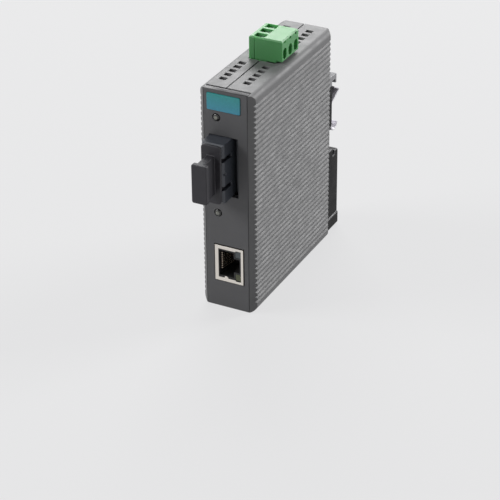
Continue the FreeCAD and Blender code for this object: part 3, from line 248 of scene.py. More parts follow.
def rounded(node, name, radius, material, share=None, segments=2, move=None, painted_highlight=None):
    """Finer copy of a CAD node: whole faces, and every sharp edge rounded to a radius in mm.

    share(point in mm) gives the part of the radius that an edge gets there, 0 for none, and
    move(points in mm) trims the copy's points before that. painted_highlight is the material
    of the rounded edges, a paler colour painted on as a highlight.
    """
    flat, sharp = math.radians(5), math.radians(25)
    mesh = frame["nodes"][node].data.copy()
    mesh.name = name
    if move:
        points = np.empty(3 * len(mesh.vertices))
        mesh.vertices.foreach_get("co", points)
        mesh.vertices.foreach_set("co", (move(points.reshape(-1, 3) / MM) * MM).ravel())
    work = bmesh.new()
    work.from_mesh(mesh)
    bmesh.ops.remove_doubles(work, verts=work.verts, dist=0.002 * MM)
    bmesh.ops.dissolve_limit(work, angle_limit=flat, verts=work.verts, edges=work.edges)
    weights = work.edges.layers.float.new("bevel_weight_edge")
    for face in work.faces:
        face.smooth = True
    for edge in work.edges:
        if len(edge.link_faces) == 2 and edge.calc_face_angle() > sharp:
            part = min(share(v.co / MM) for v in edge.verts) if share else 1.0
            edge[weights] = part
            edge.smooth = part > 0
    work.to_mesh(mesh)
    work.free()
    made = stand_for(bpy.data.objects.new(name, mesh), node, material)
    edges = made.modifiers.new("edge radius", "BEVEL")
    edges.limit_method = "WEIGHT"
    edges.width = radius * MM
    edges.segments = segments
    edges.use_clamp_overlap = False
    edges.loop_slide = False
    if painted_highlight:
        mesh.materials.append(painted_highlight)
        edges.material = 1
    faces = made.modifiers.new("flat faces", "WEIGHTED_NORMAL")
    faces.keep_sharp = True
    return made


def near_outside(point):
    """Whole radius within SKIN_DEPTH of the outside, SEAM_SHARE on the parting line, else none."""
    here = np.array(point)
    if min((here - HOUSING_LOW).min(), (HOUSING_HIGH - here).min()) > SKIN_DEPTH:
        return 0.0
    return SEAM_SHARE if abs(point.x - SEAM_X) < SEAM_NEAR else 1.0


def open_joints(points):
    """Sets lips back from the panel and meeting faces apart, so that the joints show dark."""
    side = np.sign(points[:, 0].mean() - SEAM_X)
    points[np.abs(points[:, 1] - LIP_FRONT) < FLUSH, 1] += LIP_BACK_BY
    points[np.abs(points[:, 0] - SEAM_X) < FLUSH, 0] += side * SEAM_OPEN
    return points


SHELL_BOXES = np.array([box_mm("left_shell"), box_mm("right_shell")])
HOUSING_LOW = SHELL_BOXES[:, 0].min(axis=0)
HOUSING_HIGH = SHELL_BOXES[:, 1].max(axis=0)
SKIN_DEPTH = 1.2
SEAM_X = SHELL_BOXES[1, 0, 0]
SEAM_NEAR = 0.4
SEAM_SHARE = 0.35
SEAM_OPEN = 0.2
LIP_FRONT = HOUSING_LOW[1] + 2.8
LIP_BACK_BY = 0.7
FLUSH = 0.01
# Light scatters evenly off the sparked skin: a soft mid grey without mirror glints.
CHARCOAL = moulded("ABS, spark-eroded moulding, charcoal", "#717172", 0.52)
for node in ("left_shell", "right_shell"):
    rounded(node, node + "_moulding", 0.22, CHARCOAL, share=near_outside, move=open_joints)


# ---------------------------------------------------------- front panel
# A flat plate moulded in the same ABS with a finer, duller grain. It hooks
# into the shells, and its rim is rounded more than its cut-outs are.
def fitted_plate(points):
    """Squares the plate's ends, and opens its window by WINDOW_WIDER all round the shield."""
    near_end, near_shield = 0.08, 0.7
    foot, top = PANEL_LOW[2], PANEL_HIGH[2]
    points[points[:, 2] < foot + near_end, 2] = foot
    points[points[:, 2] > top - near_end, 2] = top
    low, high = box_mm("jack_shield")
    out = points - (low + high) / 2
    round_it = (np.abs(out) < (high - low) / 2 + near_shield)[:, ::2].all(axis=1)
    points[round_it, ::2] += np.sign(out[round_it, ::2]) * WINDOW_WIDER
    return points


def panel_rim(point):
    """Whole radius round the plate's front rim, a third round the cut-outs, none behind."""
    skin, rim, cut_out_share = 0.1, 0.6, 0.35
    if point.y > PANEL_LOW[1] + skin:
        return 0.0
    here = np.array(point)
    inset = min((here - PANEL_LOW)[::2].min(), (PANEL_HIGH - here)[::2].min())
    return 1.0 if inset < rim else cut_out_share


PANEL_LOW, PANEL_HIGH = box_mm("front_panel")
WINDOW_WIDER = 0.15
# The plate is coloured a darker grey than the shells; its finer tool finish gives a faint even
# sheen.
rounded("front_panel", "front_panel_moulding", 0.36,
        moulded("ABS, fine matt moulding, front panel", "#5c5c5e", 0.5, grain=0.35),
        share=panel_rim, segments=3, move=fitted_plate)


# ---------------------------------------------------------------- badge
# A strip of polyester film let into the panel, screen printed in teal that
# runs from greener at the top to bluer below. It is bare, with a soft rim.
def grid(points):
    """Points and quads of a surface on an (m, n) grid whose rows are closed loops."""
    m, n = points.shape[:2]
    i = np.arange(m - 1)[:, None] * n
    j = np.arange(n)[None, :]
    k = (j + 1) % n
    quads = np.stack([i + j, i + k, i + n + k, i + n + j], axis=-1)
    return points.reshape(-1, 3), quads.reshape(-1, 4)


def piece(name, node, skins, material):
    """One mesh from closed skins in mm: poles and seams joined, faces outwards, creases sharp."""
    crease = math.radians(32)
    starts = np.cumsum([0] + [len(points) for points, _ in skins])
    points = np.concatenate([points for points, _ in skins]) * MM
    quads = np.concatenate([quads + start for (_, quads), start in zip(skins, starts)])
    mesh = bpy.data.meshes.new(name)
    mesh.from_pydata(points.tolist(), [], quads.tolist())
    work = bmesh.new()
    work.from_mesh(mesh)
    bmesh.ops.remove_doubles(work, verts=work.verts, dist=0.0004 * MM)
    bmesh.ops.recalc_face_normals(work, faces=work.faces)
    for face in work.faces:
        face.smooth = True
    for edge in work.edges:
        edge.smooth = len(edge.link_faces) == 2 and edge.calc_face_angle() < crease
    work.to_mesh(mesh)
    work.free()
    return stand_for(bpy.data.objects.new(name, mesh), node, material)


def round_outline(wide, high, radius, steps=6):
    """Rectangle with round corners: four quarter circles joined by straight runs."""
    turn = np.linspace(0, math.pi / 2, steps) + np.arange(4)[:, None] * math.pi / 2
    side_x, side_y = np.array([[1, -1, -1, 1], [1, 1, -1, -1]])[..., None]
    return np.stack([side_x * (wide / 2 - radius) + radius * np.cos(turn),
                     side_y * (high / 2 - radius) + radius * np.sin(turn)], -1).reshape(-1, 2)


def printed_film(name):
    """Glossy film over ink: colour by height, the ink's fine mottle, and a faint orange peel."""
    made, tree, shader = finish_of(name)
    place = add(tree, "TexCoord").outputs["Object"]
    low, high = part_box("badge_plate")
    height = add(tree, "SeparateXYZ", {"Vector": place}).outputs["Z"]
    rise = add(tree, "MapRange", {"Value": height, "From Min": low[2], "From Max": high[2]})
    ink = add(tree, "Mix", {"Factor": rise.outputs["Result"], 6: linear("#3aa3c2"),
                            7: linear("#2aa9a8")}, data_type="RGBA")
    # Screen dots are near 0.2 mm; the mottle they leave is drawn at 0.6 mm, so that it shows.
    mottle = add(tree, "TexNoise", {"Vector": place, "Scale": 1 / (0.6 * MM), "Detail": 3.0})
    dots = add(tree, "Mix", {"Factor": mottle.outputs["Fac"], 6: linear("#d9dcdc"),
                             7: linear("#ffffff")}, data_type="RGBA")
    both = add(tree, "Mix", {"Factor": 1.0, 6: ink.outputs[2], 7: dots.outputs[2]},
               data_type="RGBA", blend_type="MULTIPLY")
    peel = add(tree, "TexNoise", {"Vector": place, "Scale": 1 / (1.5 * MM), "Detail": 1.0})
    bump = add(tree, "Bump", {"Height": peel.outputs["Fac"], "Distance": 0.004 * MM,
                              "Strength": 1.0})
    feed(tree, shader, {"Base Color": both.outputs[2], "Normal": bump.outputs["Normal"],
                        "Roughness": 0.3, "Coat Weight": 0.35, "Coat Roughness": 0.12})
    return made


def badge():
    """Film as nested round outlines, from its back over the rim to its middle.

    Each step is (inset, place from the front); an inset of a whole mm shuts the skin.
    """
    low, high = box_mm("badge_plate")
    wide, thick, tall = high - low
    inset, y = np.array([(1, thick), (0, thick), (0, 0.12), (0.04, 0.05), (0.12, 0.01),
                         (0.25, 0), (1, 0)]).T[..., None]
    outline = round_outline(wide, tall, 0.5)
    open_by = inset < 1
    x = (low[0] + high[0]) / 2 + open_by * (1 - 2 * inset / wide) * outline[:, 0]
    z = (low[2] + high[2]) / 2 + open_by * (1 - 2 * inset / tall) * outline[:, 1]
    return grid(np.stack(np.broadcast_arrays(x, low[1] + y, z), -1))


# Ink under a thin hard film: one clean colour with a gloss over it.
piece("badge_film", "badge_plate", [badge()], printed_film("polyester film, teal screen print"))


# ------------------------------------------------------- network socket
# A moulded insert in a folded, tinned steel shield, with eight gilt spring
# wires: each rises from the board, runs forward over the insert's roof and
# turns back into the opening. Two clear light guides fill its corners.
def bent(corners, radius, steps):
    """Path through corner points, each inner corner replaced by an arc tangent to both runs,
    which takes less than half of either."""
    most = 0.49
    corners = np.array(corners, float)
    path = [corners[:1]]
    for before, corner, after in zip(corners, corners[1:], corners[2:]):
        run_in, run_out = np.linalg.norm(before - corner), np.linalg.norm(after - corner)
        a = (before - corner) / run_in
        b = (after - corner) / run_out
        half = math.acos(np.clip(a @ b, -1, 1)) / 2
        reach = min(radius / math.tan(half), most * run_in, most * run_out)
        arc = reach * math.tan(half)
        middle = corner + (a + b) / np.linalg.norm(a + b) * reach / math.cos(half)
        across = (corner + a * reach - middle) / arc
        turn = np.linspace(0, math.pi - 2 * half, steps)[:, None]
        path.append(middle + arc * (np.cos(turn) * across - np.sin(turn) * a))
    return np.concatenate(path + [corners[-1:]])


def drawn(path, outline, across):
    """Section carried along a path: P = path + s*across + t*(across x tangent), ends capped."""
    tangent = np.gradient(path, axis=0)
    tangent /= np.linalg.norm(tangent, axis=1, keepdims=True)
    across = np.array(across, float)
    beside = np.cross(across, tangent)
    body = path[:, None] + outline[:, 0, None] * across + outline[:, 1, None] * beside[:, None]
    caps = np.repeat(path[[0, -1], None], len(outline), axis=1)
    return grid(np.concatenate([caps[:1], body, caps[1:]]))


def circle(radius):
    """Ten-sided outline of a round wire."""
    turn = np.linspace(0, 2 * math.pi, 10, endpoint=False)
    return radius * np.stack([np.cos(turn), np.sin(turn)], 1)


def metal(name, colour, rough, run=(1, 1, 1), grain=0.6, spread=0.08):
    """Metal with rolling or drawing lines: noise stretched along run, in polish and height, and
    a film that clouds its shade over 4 mm."""
    made, tree, shader = finish_of(name)
    place = add(tree, "TexCoord").outputs["Object"]
    along = add(tree, "Mapping", {"Vector": place, "Scale": run})
    # Rolling and drawing lines are under 0.05 mm apart; they are drawn coarser, so they show.
    lines = add(tree, "TexNoise", {"Vector": along.outputs[0], "Scale": 1 / (grain * MM),
                                   "Detail": 3.0})
    film = add(tree, "TexNoise", {"Vector": place, "Scale": 1 / (4 * MM), "Detail": 3.0})
    shade = add(tree, "Mix", {"Factor": film.outputs["Fac"], 6: linear(colour, 1 - spread),
                              7: linear(colour)}, data_type="RGBA")
    polish = add(tree, "MapRange", {"Value": lines.outputs["Fac"], "From Min": 0.3,
                                    "From Max": 0.7, "To Min": rough - 0.07,
                                    "To Max": rough + 0.07})
    bump = add(tree, "Bump", {"Height": lines.outputs["Fac"], "Distance": 0.004 * MM,
                              "Strength": 1.0})
    feed(tree, shader, {"Base Color": shade.outputs[2], "Roughness": polish.outputs["Result"],
                        "Normal": bump.outputs["Normal"], "Metallic": 1.0})
    return made


def clear_plastic(name, colour):
    """Clear moulding: tinted light through it, a hard gloss, and faint flow lines in its skin."""
    made, tree, shader = finish_of(name)
    place = add(tree, "TexCoord").outputs["Object"]
    flow = add(tree, "TexNoise", {"Vector": place, "Scale": 1 / (0.9 * MM), "Detail": 2.0})
    tint = add(tree, "Mix", {"Factor": flow.outputs["Fac"], 6: linear(colour, 0.9),
                             7: linear(colour)}, data_type="RGBA")
    bump = add(tree, "Bump", {"Height": flow.outputs["Fac"], "Distance": 0.01 * MM,
                              "Strength": 1.0})
    feed(tree, shader, {"Base Color": tint.outputs[2], "Normal": bump.outputs["Normal"],
                        "Roughness": 0.16, "Transmission Weight": 0.4, "IOR": 1.58})
    return made


def contact_wires():
    """Eight round wires side by side: tail, run over the roof, fold in front, slant to a tip."""
    low, high = box_mm("jack_contacts")
    thick, stagger = 0.45, 2.5
    fold, drop, reach = 0.62, 2.3, 7.3
    roof = low[0] + thick / 2
    front = low[1] + thick / 2
    wires = []
    for i, z in enumerate(np.linspace(low[2] + thick / 2, high[2] - thick / 2, 8)):
        tail = high[1] - thick / 2 - (0 if i % 2 else stagger)
        corners = [(high[0], tail, z), (roof, tail, z), (roof, front, z),
                   (roof + fold, front, z), (roof + drop, front + reach, z)]
        wires.append(drawn(bent(corners, 0.31, 6), circle(thick / 2), (0, 0, 1)))
    return wires


# Tin dulls to a warm white, so that the shield reads as a pale frame with soft reflections.
TINNED = metal("tinned steel, cold rolled and folded", "#e6e0d8", 0.36, run=(1, 1, 0.12))
rounded("jack_shield", "jack_shield_folded", 0.1, TINNED)
# Glass fibres in the skin dull the black, and the opening reads as a deep hole.
rounded("jack_insert", "jack_insert_moulding", 0.04,
        moulded("PBT, glass-filled, black", "#161617", 0.5, grain=0.3, depth=0.015))
# The flash of gold gives the wires small warm glints in the dark.
piece("jack_spring_wires", "jack_contacts", contact_wires(),
      metal("phosphor bronze wire, gilt", "#e6d6c4", 0.36, run=(0.1, 0.1, 1)))
# Glossy windows that show the tint of the unlit lamps behind them, one grey and one olive.
rounded("jack_lamp_upper", "jack_light_guide_upper", 0.12,
        clear_plastic("polycarbonate, clear light guide", "#5f696d"))
rounded("jack_lamp_lower", "jack_light_guide_lower", 0.12,
        clear_plastic("polycarbonate, olive light guide", "#676c42"))


# ---------------------------------------------------------- transceiver
# The duplex fibre module is one black PBT moulding with a nose of two ports;
# a ground zirconia sleeve stands in each, and a row of tinned leads below.
def turned(profile, centre, axis, steps=40):
    """Body of revolution: each (radius, height) of a profile swept round an axis at a centre."""
    radius, height = np.array(profile, float).T
    axis = np.array(axis, float)
    first = np.roll(axis, 1)
    turn = np.linspace(0, 2 * math.pi, steps, endpoint=False)[:, None]
    ring = np.cos(turn) * first + np.sin(turn) * np.cross(axis, first)
    spine = np.array(centre) + height[:, None, None] * axis
    return grid(spine + radius[:, None, None] * ring)


def sleeves():
    """Two tubes along the ports, open in front, their mouths and edges chamfered."""
    low, high = box_mm("ferrule_sleeves")
    wall, floor, edge, lip, mouth = 0.38, 1.0, 0.12, 0.14, 0.18
    x = (low[0] + high[0]) / 2
    outer = (high[0] - low[0]) / 2
    bore = outer - wall
    long = high[1] - low[1]
    profile = [(0, long), (outer - edge, long), (outer, long - edge), (outer, mouth),
               (outer - lip, 0), (bore + edge, 0), (bore, mouth), (bore, long - floor),
               (0, long - floor)]
    return [turned(profile, (x, low[1], z), (0, 1, 0)) for z in (low[2] + outer, high[2] - outer)]


def sintered(name):
    """Zirconia: white ground grains under a wet gloss, and a little light under the skin."""
    made, tree, shader = finish_of(name)
    place = add(tree, "TexCoord").outputs["Object"]
    # Grains of zirconia are under 0.001 mm; the ground skin's unevenness is drawn at 0.25 mm.
    grit = add(tree, "TexNoise", {"Vector": place, "Scale": 1 / (0.25 * MM), "Detail": 2.0})
    shade = add(tree, "Mix", {"Factor": grit.outputs["Fac"], 6: linear("#e9e5dc"),
                              7: linear("#f6f3ec")}, data_type="RGBA")
    feed(tree, shader, {"Base Color": shade.outputs[2], "Roughness": 0.16, "IOR": 2.1,
                        "Subsurface Weight": 0.2, "Subsurface Radius": (1.0, 1.0, 0.8),
                        "Subsurface Scale": 0.6 * MM})
    return made


def step_back(points):
    """Sets the step between nose and body STEP_BACK_BY further in, out of the light there."""
    proud, beside = 0.5, 0.1
    nose = points[:, 1] < PANEL_LOW[1] - proud
    step = points[points[:, 0] > points[nose, 0].max() + beside, 1].min()
    points[np.abs(points[:, 1] - step) < 2 * FLUSH, 1] += STEP_BACK_BY
    return points


STEP_BACK_BY = 1.8
# Polished moulding: a cool blue black, with broad soft reflections on its flats.
rounded("transceiver", "fibre_module_moulding", 0.16,
        moulded("PBT, polished moulding, blue black", "#474b53", 0.36, grain=0.4, depth=0.008,
                gloss=0.55), move=step_back)
# Dense white ceramic with a hard gloss.
piece("ferrule_sleeves_ground", "ferrule_sleeves", sleeves(),
      sintered("zirconia, sintered and ground"))
# Tin that has flowed: bright, with a slightly uneven skin.
SOLDERED = metal("copper alloy leads, hot tinned", "#d8d8d6", 0.32, run=(0.2, 1, 1), grain=0.4)
rounded("transceiver_leads", "fibre_module_leads", 0.1, SOLDERED)


# ------------------------------------------------------------ dust plug
# The ports' dust plug is one soft black PVC moulding, so that every edge of
# its flange, stem and grip is round, with a dull bloom on the skin.

# Nearly black, with a waxy bloom that is uneven where fingers pull it.
rounded("dust_plug", "dust_plug_moulding", 0.38,
        moulded("soft PVC, matt moulding, black", "#323136", 0.5, grain=0.7, drift=0.1,
                gloss=0.42), segments=3)


# ---------------------------------------------------------------- lamps
# Two cast epoxy lamps stand a little proud of the panel, each with a clear dome painted
# dark toward its rim as shade, and a collar behind the panel, pushed into a black stand.
def lens(node):
    """Cast lens: elliptic dome, straight shank, and a collar with bevelled edges behind."""
    low, high = box_mm(node)
    centre = ((low[0] + high[0]) / 2, low[1], (low[2] + high[2]) / 2)
    shank, dome_high, bevel, gap = 1.5, 0.62, 0.1, 0.2
    collar = (high[0] - low[0]) / 2
    long = high[1] - low[1]
    seat = PANEL_HIGH[1] - low[1] + gap
    turn = np.linspace(0, math.pi / 2, 9)
    dome = np.stack([shank * np.sin(turn), dome_high * (1 - np.cos(turn))], 1)
    rear = [(shank, seat), (collar - bevel, seat), (collar, seat + bevel),
            (collar, long - bevel), (collar - bevel, long), (0, long)]
    return turned(np.concatenate([dome, rear]), centre, (0, 1, 0), 48)


def cast_epoxy(name, node):
    """Clear epoxy under painted shade: dark to the rim, where the dome's refraction shows the dark
    behind it, and paler over the lead frame's cup, 1.4 mm across.
    """
    made, tree, shader = finish_of(name)
    low, high = [Vector(corner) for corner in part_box(node)]
    centre = (low + high) / 2
    place = add(tree, "TexCoord").outputs["Object"]
    moved = add(tree, "Mapping", {"Vector": place, "Location": (-centre.x, 0, -centre.z),
                                  "Scale": (1, 0, 1)})
    reach = add(tree, "VectorMath", {0: moved.outputs[0]}, operation="LENGTH")
    # Painted shade: the colour darkens toward the rim, standing in for the dome's refraction.
    cup_and_rim_shade = add(tree, "MapRange", {"Value": reach.outputs["Value"], "From Min": 0.55 * MM,
                                 "From Max": 1.0 * MM, "To Min": 1.0, "To Max": 0.0},
              interpolation_type="SMOOTHSTEP")
    cloud = add(tree, "TexNoise", {"Vector": place, "Scale": 1 / (0.5 * MM), "Detail": 2.0})
    part = add(tree, "Math", {0: cup_and_rim_shade.outputs["Result"], 1: cloud.outputs["Fac"]},
               operation="MULTIPLY")
    tint = add(tree, "Mix", {"Factor": part.outputs[0], 6: linear("#1b1c1a"),
                             7: linear("#b9bbae")}, data_type="RGBA")
    bump = add(tree, "Bump", {"Height": cloud.outputs["Fac"], "Distance": 0.01 * MM,
                              "Strength": 1.0})
    feed(tree, shader, {"Base Color": tint.outputs[2], "Normal": bump.outputs["Normal"],
                        "Roughness": 0.22, "Coat Weight": 0.3, "Coat Roughness": 0.08})
    return made


# Unlit resin in painted shade, dark toward the rim, with one pale dot in the middle under a gloss.
for node in ("upper_lamp", "lower_lamp"):
    piece(node + "_lens", node, [lens(node)],
          cast_epoxy("epoxy, cast, rim_shaded clear, " + node, node))
# Plain dull black, to sink behind the panel.
rounded("lamp_stands", "lamp_stands_moulding", 0.2,
        moulded("nylon, black moulding, lamp stands", "#19191a", 0.45))
rounded("lamp_leads", "lamp_leads_bent", 0.1, SOLDERED)


# ------------------------------------------------------- power terminal
# A green polyamide header on the board and the plug that lifts off it. Each
# pole has a slotted steel screw whose thread raises a plated cage round the
# wire, against a tinned strip that ends in a slit tulip on the header's pin.
def slotted_head(centre, radius, high, slot, deep):
    """Disc in rows across its slot: each row loops over the top and back below, cut to a depth
    between the slot's edges, with a reach of sqrt(radius^2 - y^2)."""
    bevel, columns = 0.12, 9
    edge = slot / 2
    rows = radius * np.sin(np.linspace(-math.pi / 2, math.pi / 2, 24))
    y = np.sort(np.concatenate([rows[np.abs(rows) > edge + 0.02], [-edge, -edge, edge, edge]]))
    top = np.where(np.abs(y) > edge, high, high - deep)
    top[np.flatnonzero(y == -edge)[0]] = high
    top[np.flatnonzero(y == edge)[1]] = high
    reach = np.sqrt(np.maximum(radius ** 2 - y ** 2, 0))[:, None]
    share = np.linspace(-1, 1, columns)
    x = np.concatenate([np.maximum(reach - bevel, 0) * share, reach, reach,
                        reach * share[::-1], -reach, -reach], axis=1)
    side = np.minimum(top, high - bevel)[:, None]
    below = np.zeros_like(side)
    z = np.concatenate([np.repeat(top[:, None], columns, axis=1), side, below,
                        np.repeat(below, columns, axis=1), below, side], axis=1)
    return grid(np.array(centre) + np.stack(np.broadcast_arrays(x, y[:, None], z), axis=-1))


def threaded(centre, axis, core, crest, long, pitch, point=0.0):
    """Threaded shank: r = core + (crest - core) * saw(h / pitch - u / turn), run out at its ends
    and narrowed over a point at its foot."""
    axis = np.array(axis, float)
    first = np.roll(axis, 1)
    h = np.linspace(0, long, int(long / pitch * 8) + 1)[:, None]
    u = np.linspace(0, 2 * math.pi, 28, endpoint=False)[None, :]
    saw = 1 - np.abs(2 * ((h / pitch - u / (2 * math.pi)) % 1.0) - 1)
    fade = np.clip(np.minimum(h - 0.1 * pitch, long - h) / pitch, 0, 1)
    taper = np.clip(h / point, 0.35, 1) if point else 1.0
    r = (taper * (core + (crest - core) * fade * saw))[..., None]
    ring = np.cos(u)[..., None] * first + np.sin(u)[..., None] * np.cross(axis, first)
    spine = np.array(centre) + h[..., None] * axis
    body = spine + r * ring
    caps = np.repeat(spine[[0, -1]], body.shape[1], axis=1)
    return grid(np.concatenate([caps[:1], body, caps[1:]]))


def clamp_screw(node):
    """Captive screw: slotted cheese head over a machine thread that runs a little into it."""
    low, high = box_mm(node)
    x, y = (low[:2] + high[:2]) / 2
    head, sunk = 0.9, 0.05
    long = high[2] - low[2] - head + sunk
    return [slotted_head((x, y, high[2] - head), radius=1.7, high=head, slot=0.5, deep=0.5),
            threaded((x, y, low[2]), (0, 0, 1), core=0.98, crest=1.25, long=long, pitch=0.45)]


# Light passes under polyamide's skin: pale and waxy where lit, never black in its recesses.
GREEN = moulded("polyamide 66, green moulding", "#4b9a56", 0.5, depth=0.012, drift=0.08,
                gloss=0.9, glow=0.5)
rounded("terminal_header", "terminal_header_moulding", 0.12, GREEN)
rounded("terminal_plug", "terminal_plug_moulding", 0.09, GREEN)
rounded("header_pins", "header_pins_stamped", 0.14, SOLDERED)
# Stamped strip keeps the tin's shine and the roll's lines along its length.
rounded("plug_contacts", "plug_contacts_stamped", 0.08,
        metal("copper alloy strip, tinned and stamped", "#d9d4cb", 0.3, run=(0.15, 1, 1)))
# Bright zinc is cool and mirror-like, with cloudy patches.
PLATED = metal("steel, zinc plated, bright", "#c9cdd2", 0.28, grain=0.5, spread=0.12)
for pole in "123":
    screw, cage = "clamp_screw_" + pole, "clamp_cage_" + pole
    piece(screw + "_slotted", screw, clamp_screw(screw), PLATED)
    rounded(cage, cage + "_folded", 0.06, PLATED)


# ------------------------------------------------------------ rail clip
# A black ABS plate with a hooked heel and a zinc grey hook, held to both
# shells by two self-tapping screws. A formed strip of spring steel is riveted
# to it: curled below, flat on the pad, and bent to a catch above.
def heel_edges(point):
    """Whole radius on the heel, which fingers and rails rub, half of it on the plate above;
    the rounds there carry the painted highlight.
    """
    return 1.0 if point.z < HEEL_TOP else 0.5


def grey_hook(made):
    """Coats the hook, above HOOK_LOW and behind HOOK_FRONT, in a pale zinc grey under dust."""
    tree = made.node_tree
    shader = tree.nodes["Principled BSDF"]
    plain = shader.inputs["Base Color"].links[0].from_socket
    place = add(tree, "TexCoord").outputs["Object"]
    apart = add(tree, "SeparateXYZ", {"Vector": place})
    above = add(tree, "MapRange", {"Value": apart.outputs["Z"], "From Min": HOOK_LOW * MM,
                                   "From Max": (HOOK_LOW + HOOK_FADE) * MM})
    behind = add(tree, "MapRange", {"Value": apart.outputs["Y"], "From Min": HOOK_FRONT * MM,
                                    "From Max": (HOOK_FRONT + HOOK_FADE) * MM})
    hook = add(tree, "Math", {0: above.outputs["Result"], 1: behind.outputs["Result"]},
               operation="MULTIPLY")
    dust = add(tree, "TexNoise", {"Vector": place, "Scale": 1 / (1.5 * MM), "Detail": 3.0})
    zinc = add(tree, "Mix", {"Factor": dust.outputs["Fac"], 6: linear("#8f8f92"),
                             7: linear("#adadb0")}, data_type="RGBA")
    both = add(tree, "Mix", {"Factor": hook.outputs[0], 6: plain, 7: zinc.outputs[2]},
               data_type="RGBA")
    feed(tree, shader, {"Base Color": both.outputs[2]})
    return made


HEEL_TOP = 41.0
HOOK_LOW = box_mm("rail_plate")[1, 2] - 4.6
HOOK_FRONT = HOUSING_HIGH[1] + 0.6
HOOK_FADE = 0.4
# A flat dead black. Its rounded edges carry a paler grey, painted on as a highlight, with a
# little gloss of their own. The hook is pale and metallic to the eye.
BLACK = grey_hook(moulded("ABS, spark-eroded moulding, black", "#161617", 0.45, grain=0.6,
                          gloss=0.08))
# Painted highlight: this paler grey on the rounds stands in for the lamps' gloss on the edges.
EDGE_HIGHLIGHT_PAINT = grey_hook(moulded("ABS, rubbed edges", "#48484b", 0.38, grain=0.6))
rounded("rail_plate", "rail_plate_moulding", 0.44, BLACK, share=heel_edges, segments=3,
        painted_highlight=EDGE_HIGHLIGHT_PAINT)


def spring_strip():
    """Strip with rounded edges carried along its bent profile: curl, land, catch, turned end.

    The curl is half a circle; the land ends 4.5 mm above the rivets, the catch rises 4 mm as
    it leaves the rail, and the end rises 3 mm on its way back.
    """
    low, high = box_mm("rail_spring")
    thick, curl = 0.6, 3.2
    pad, catch, end = 5.25, 13.8, 8.2
    rear = HOUSING_HIGH[1]
    land = rear + pad + thick / 2
    bottom = low[2] + curl + thick / 2
    rivet = box_mm("spring_rivets")[:, 2].mean()
    turn = np.linspace(0, math.pi, 19)[1:]
    hook = np.stack([0 * turn, land + curl * (1 + np.cos(turn)), bottom - curl * np.sin(turn)], 1)
    rise = bent([(0, land, bottom), (0, land, rivet + 4.5), (0, rear + catch, rivet + 8.5),
                 (0, rear + end, rivet + 11.5)], 0.5, 7)
    section = round_outline(high[0] - low[0], thick, 0.18, 4)
    return drawn(np.concatenate([hook, rise]), section, (1, 0, 0))


def domed_rivets():
    """Two rivets: a low domed head, a quarter ellipse in section, over a plain shank."""
    low, high = box_mm("spring_rivets")
    head, tall, shank = 2.1, 0.8, 1.2
    long = high[1] - low[1]
    z = (low[2] + high[2]) / 2
    turn = np.linspace(0, math.pi / 2, 7)
    dome = np.stack([head * np.sin(turn), long - 0.75 * tall * (1 - np.cos(turn))], 1)
    stem = [(head - 0.05, long - tall), (shank, long - tall), (shank, 0), (0, 0)]
    return [turned(np.concatenate([dome, stem]), (x, low[1], z), (0, 1, 0), 32)
            for x in (low[0] + head, high[0] - head)]


def cross_head(centre, radius, tall, depth):
    """Pan head on a polar grid: h = dome(r) less a cross whose walls lean in by 0.15 mm."""
    half, lean, reach, run_out = 0.34, 0.15, 1.35, 0.3
    rho = np.append(np.linspace(0, radius, 26), radius)[:, None]
    u = np.linspace(0, 2 * math.pi, 96, endpoint=False)[None, :]
    x, z = rho * np.cos(u), rho * np.sin(u)
    arms = [np.clip((half - np.abs(s)) / lean, 0, 1) * np.clip((reach - np.abs(t)) / run_out, 0, 1)
            for s, t in ((x, z), (z, x))]
    dome = tall * (0.45 + 0.55 * np.sqrt(np.maximum(1 - (rho / radius) ** 3, 0)))
    h = dome - depth * np.maximum(*arms)
    h[-1] = 0
    under = np.zeros((1, len(u[0]), 3))
    return grid(np.concatenate([np.stack([x, h, z], -1), under]) + np.array(centre))


def plate_screws():
    """Two self-tapping screws, pan heads outwards, coarse threads in the shells' bosses."""
    low, high = box_mm("rail_plate_screws")
    head, tall, sunk = 2.6, 1.5, 0.05
    z = (low[2] + high[2]) / 2
    long = high[1] - tall - low[1] + sunk
    made = []
    for x in (low[0] + head, high[0] - head):
        made += [cross_head((x, high[1] - tall, z), head, tall, depth=0.8),
                 threaded((x, low[1], z), (0, 1, 0), core=1.0, crest=1.4, long=long, pitch=1.12,
                          point=1.2)]
    return made


# Rolled strip under zinc: pale satin, streaked along its length.
piece("rail_spring_formed", "rail_spring", [spring_strip()],
      metal("spring steel strip, zinc plated", "#cbc9ce", 0.48, run=(0.08, 1, 1), grain=0.5))
piece("spring_rivets_domed", "spring_rivets", domed_rivets(), PLATED)
piece("rail_plate_screws_pan", "rail_plate_screws", plate_screws(), PLATED)


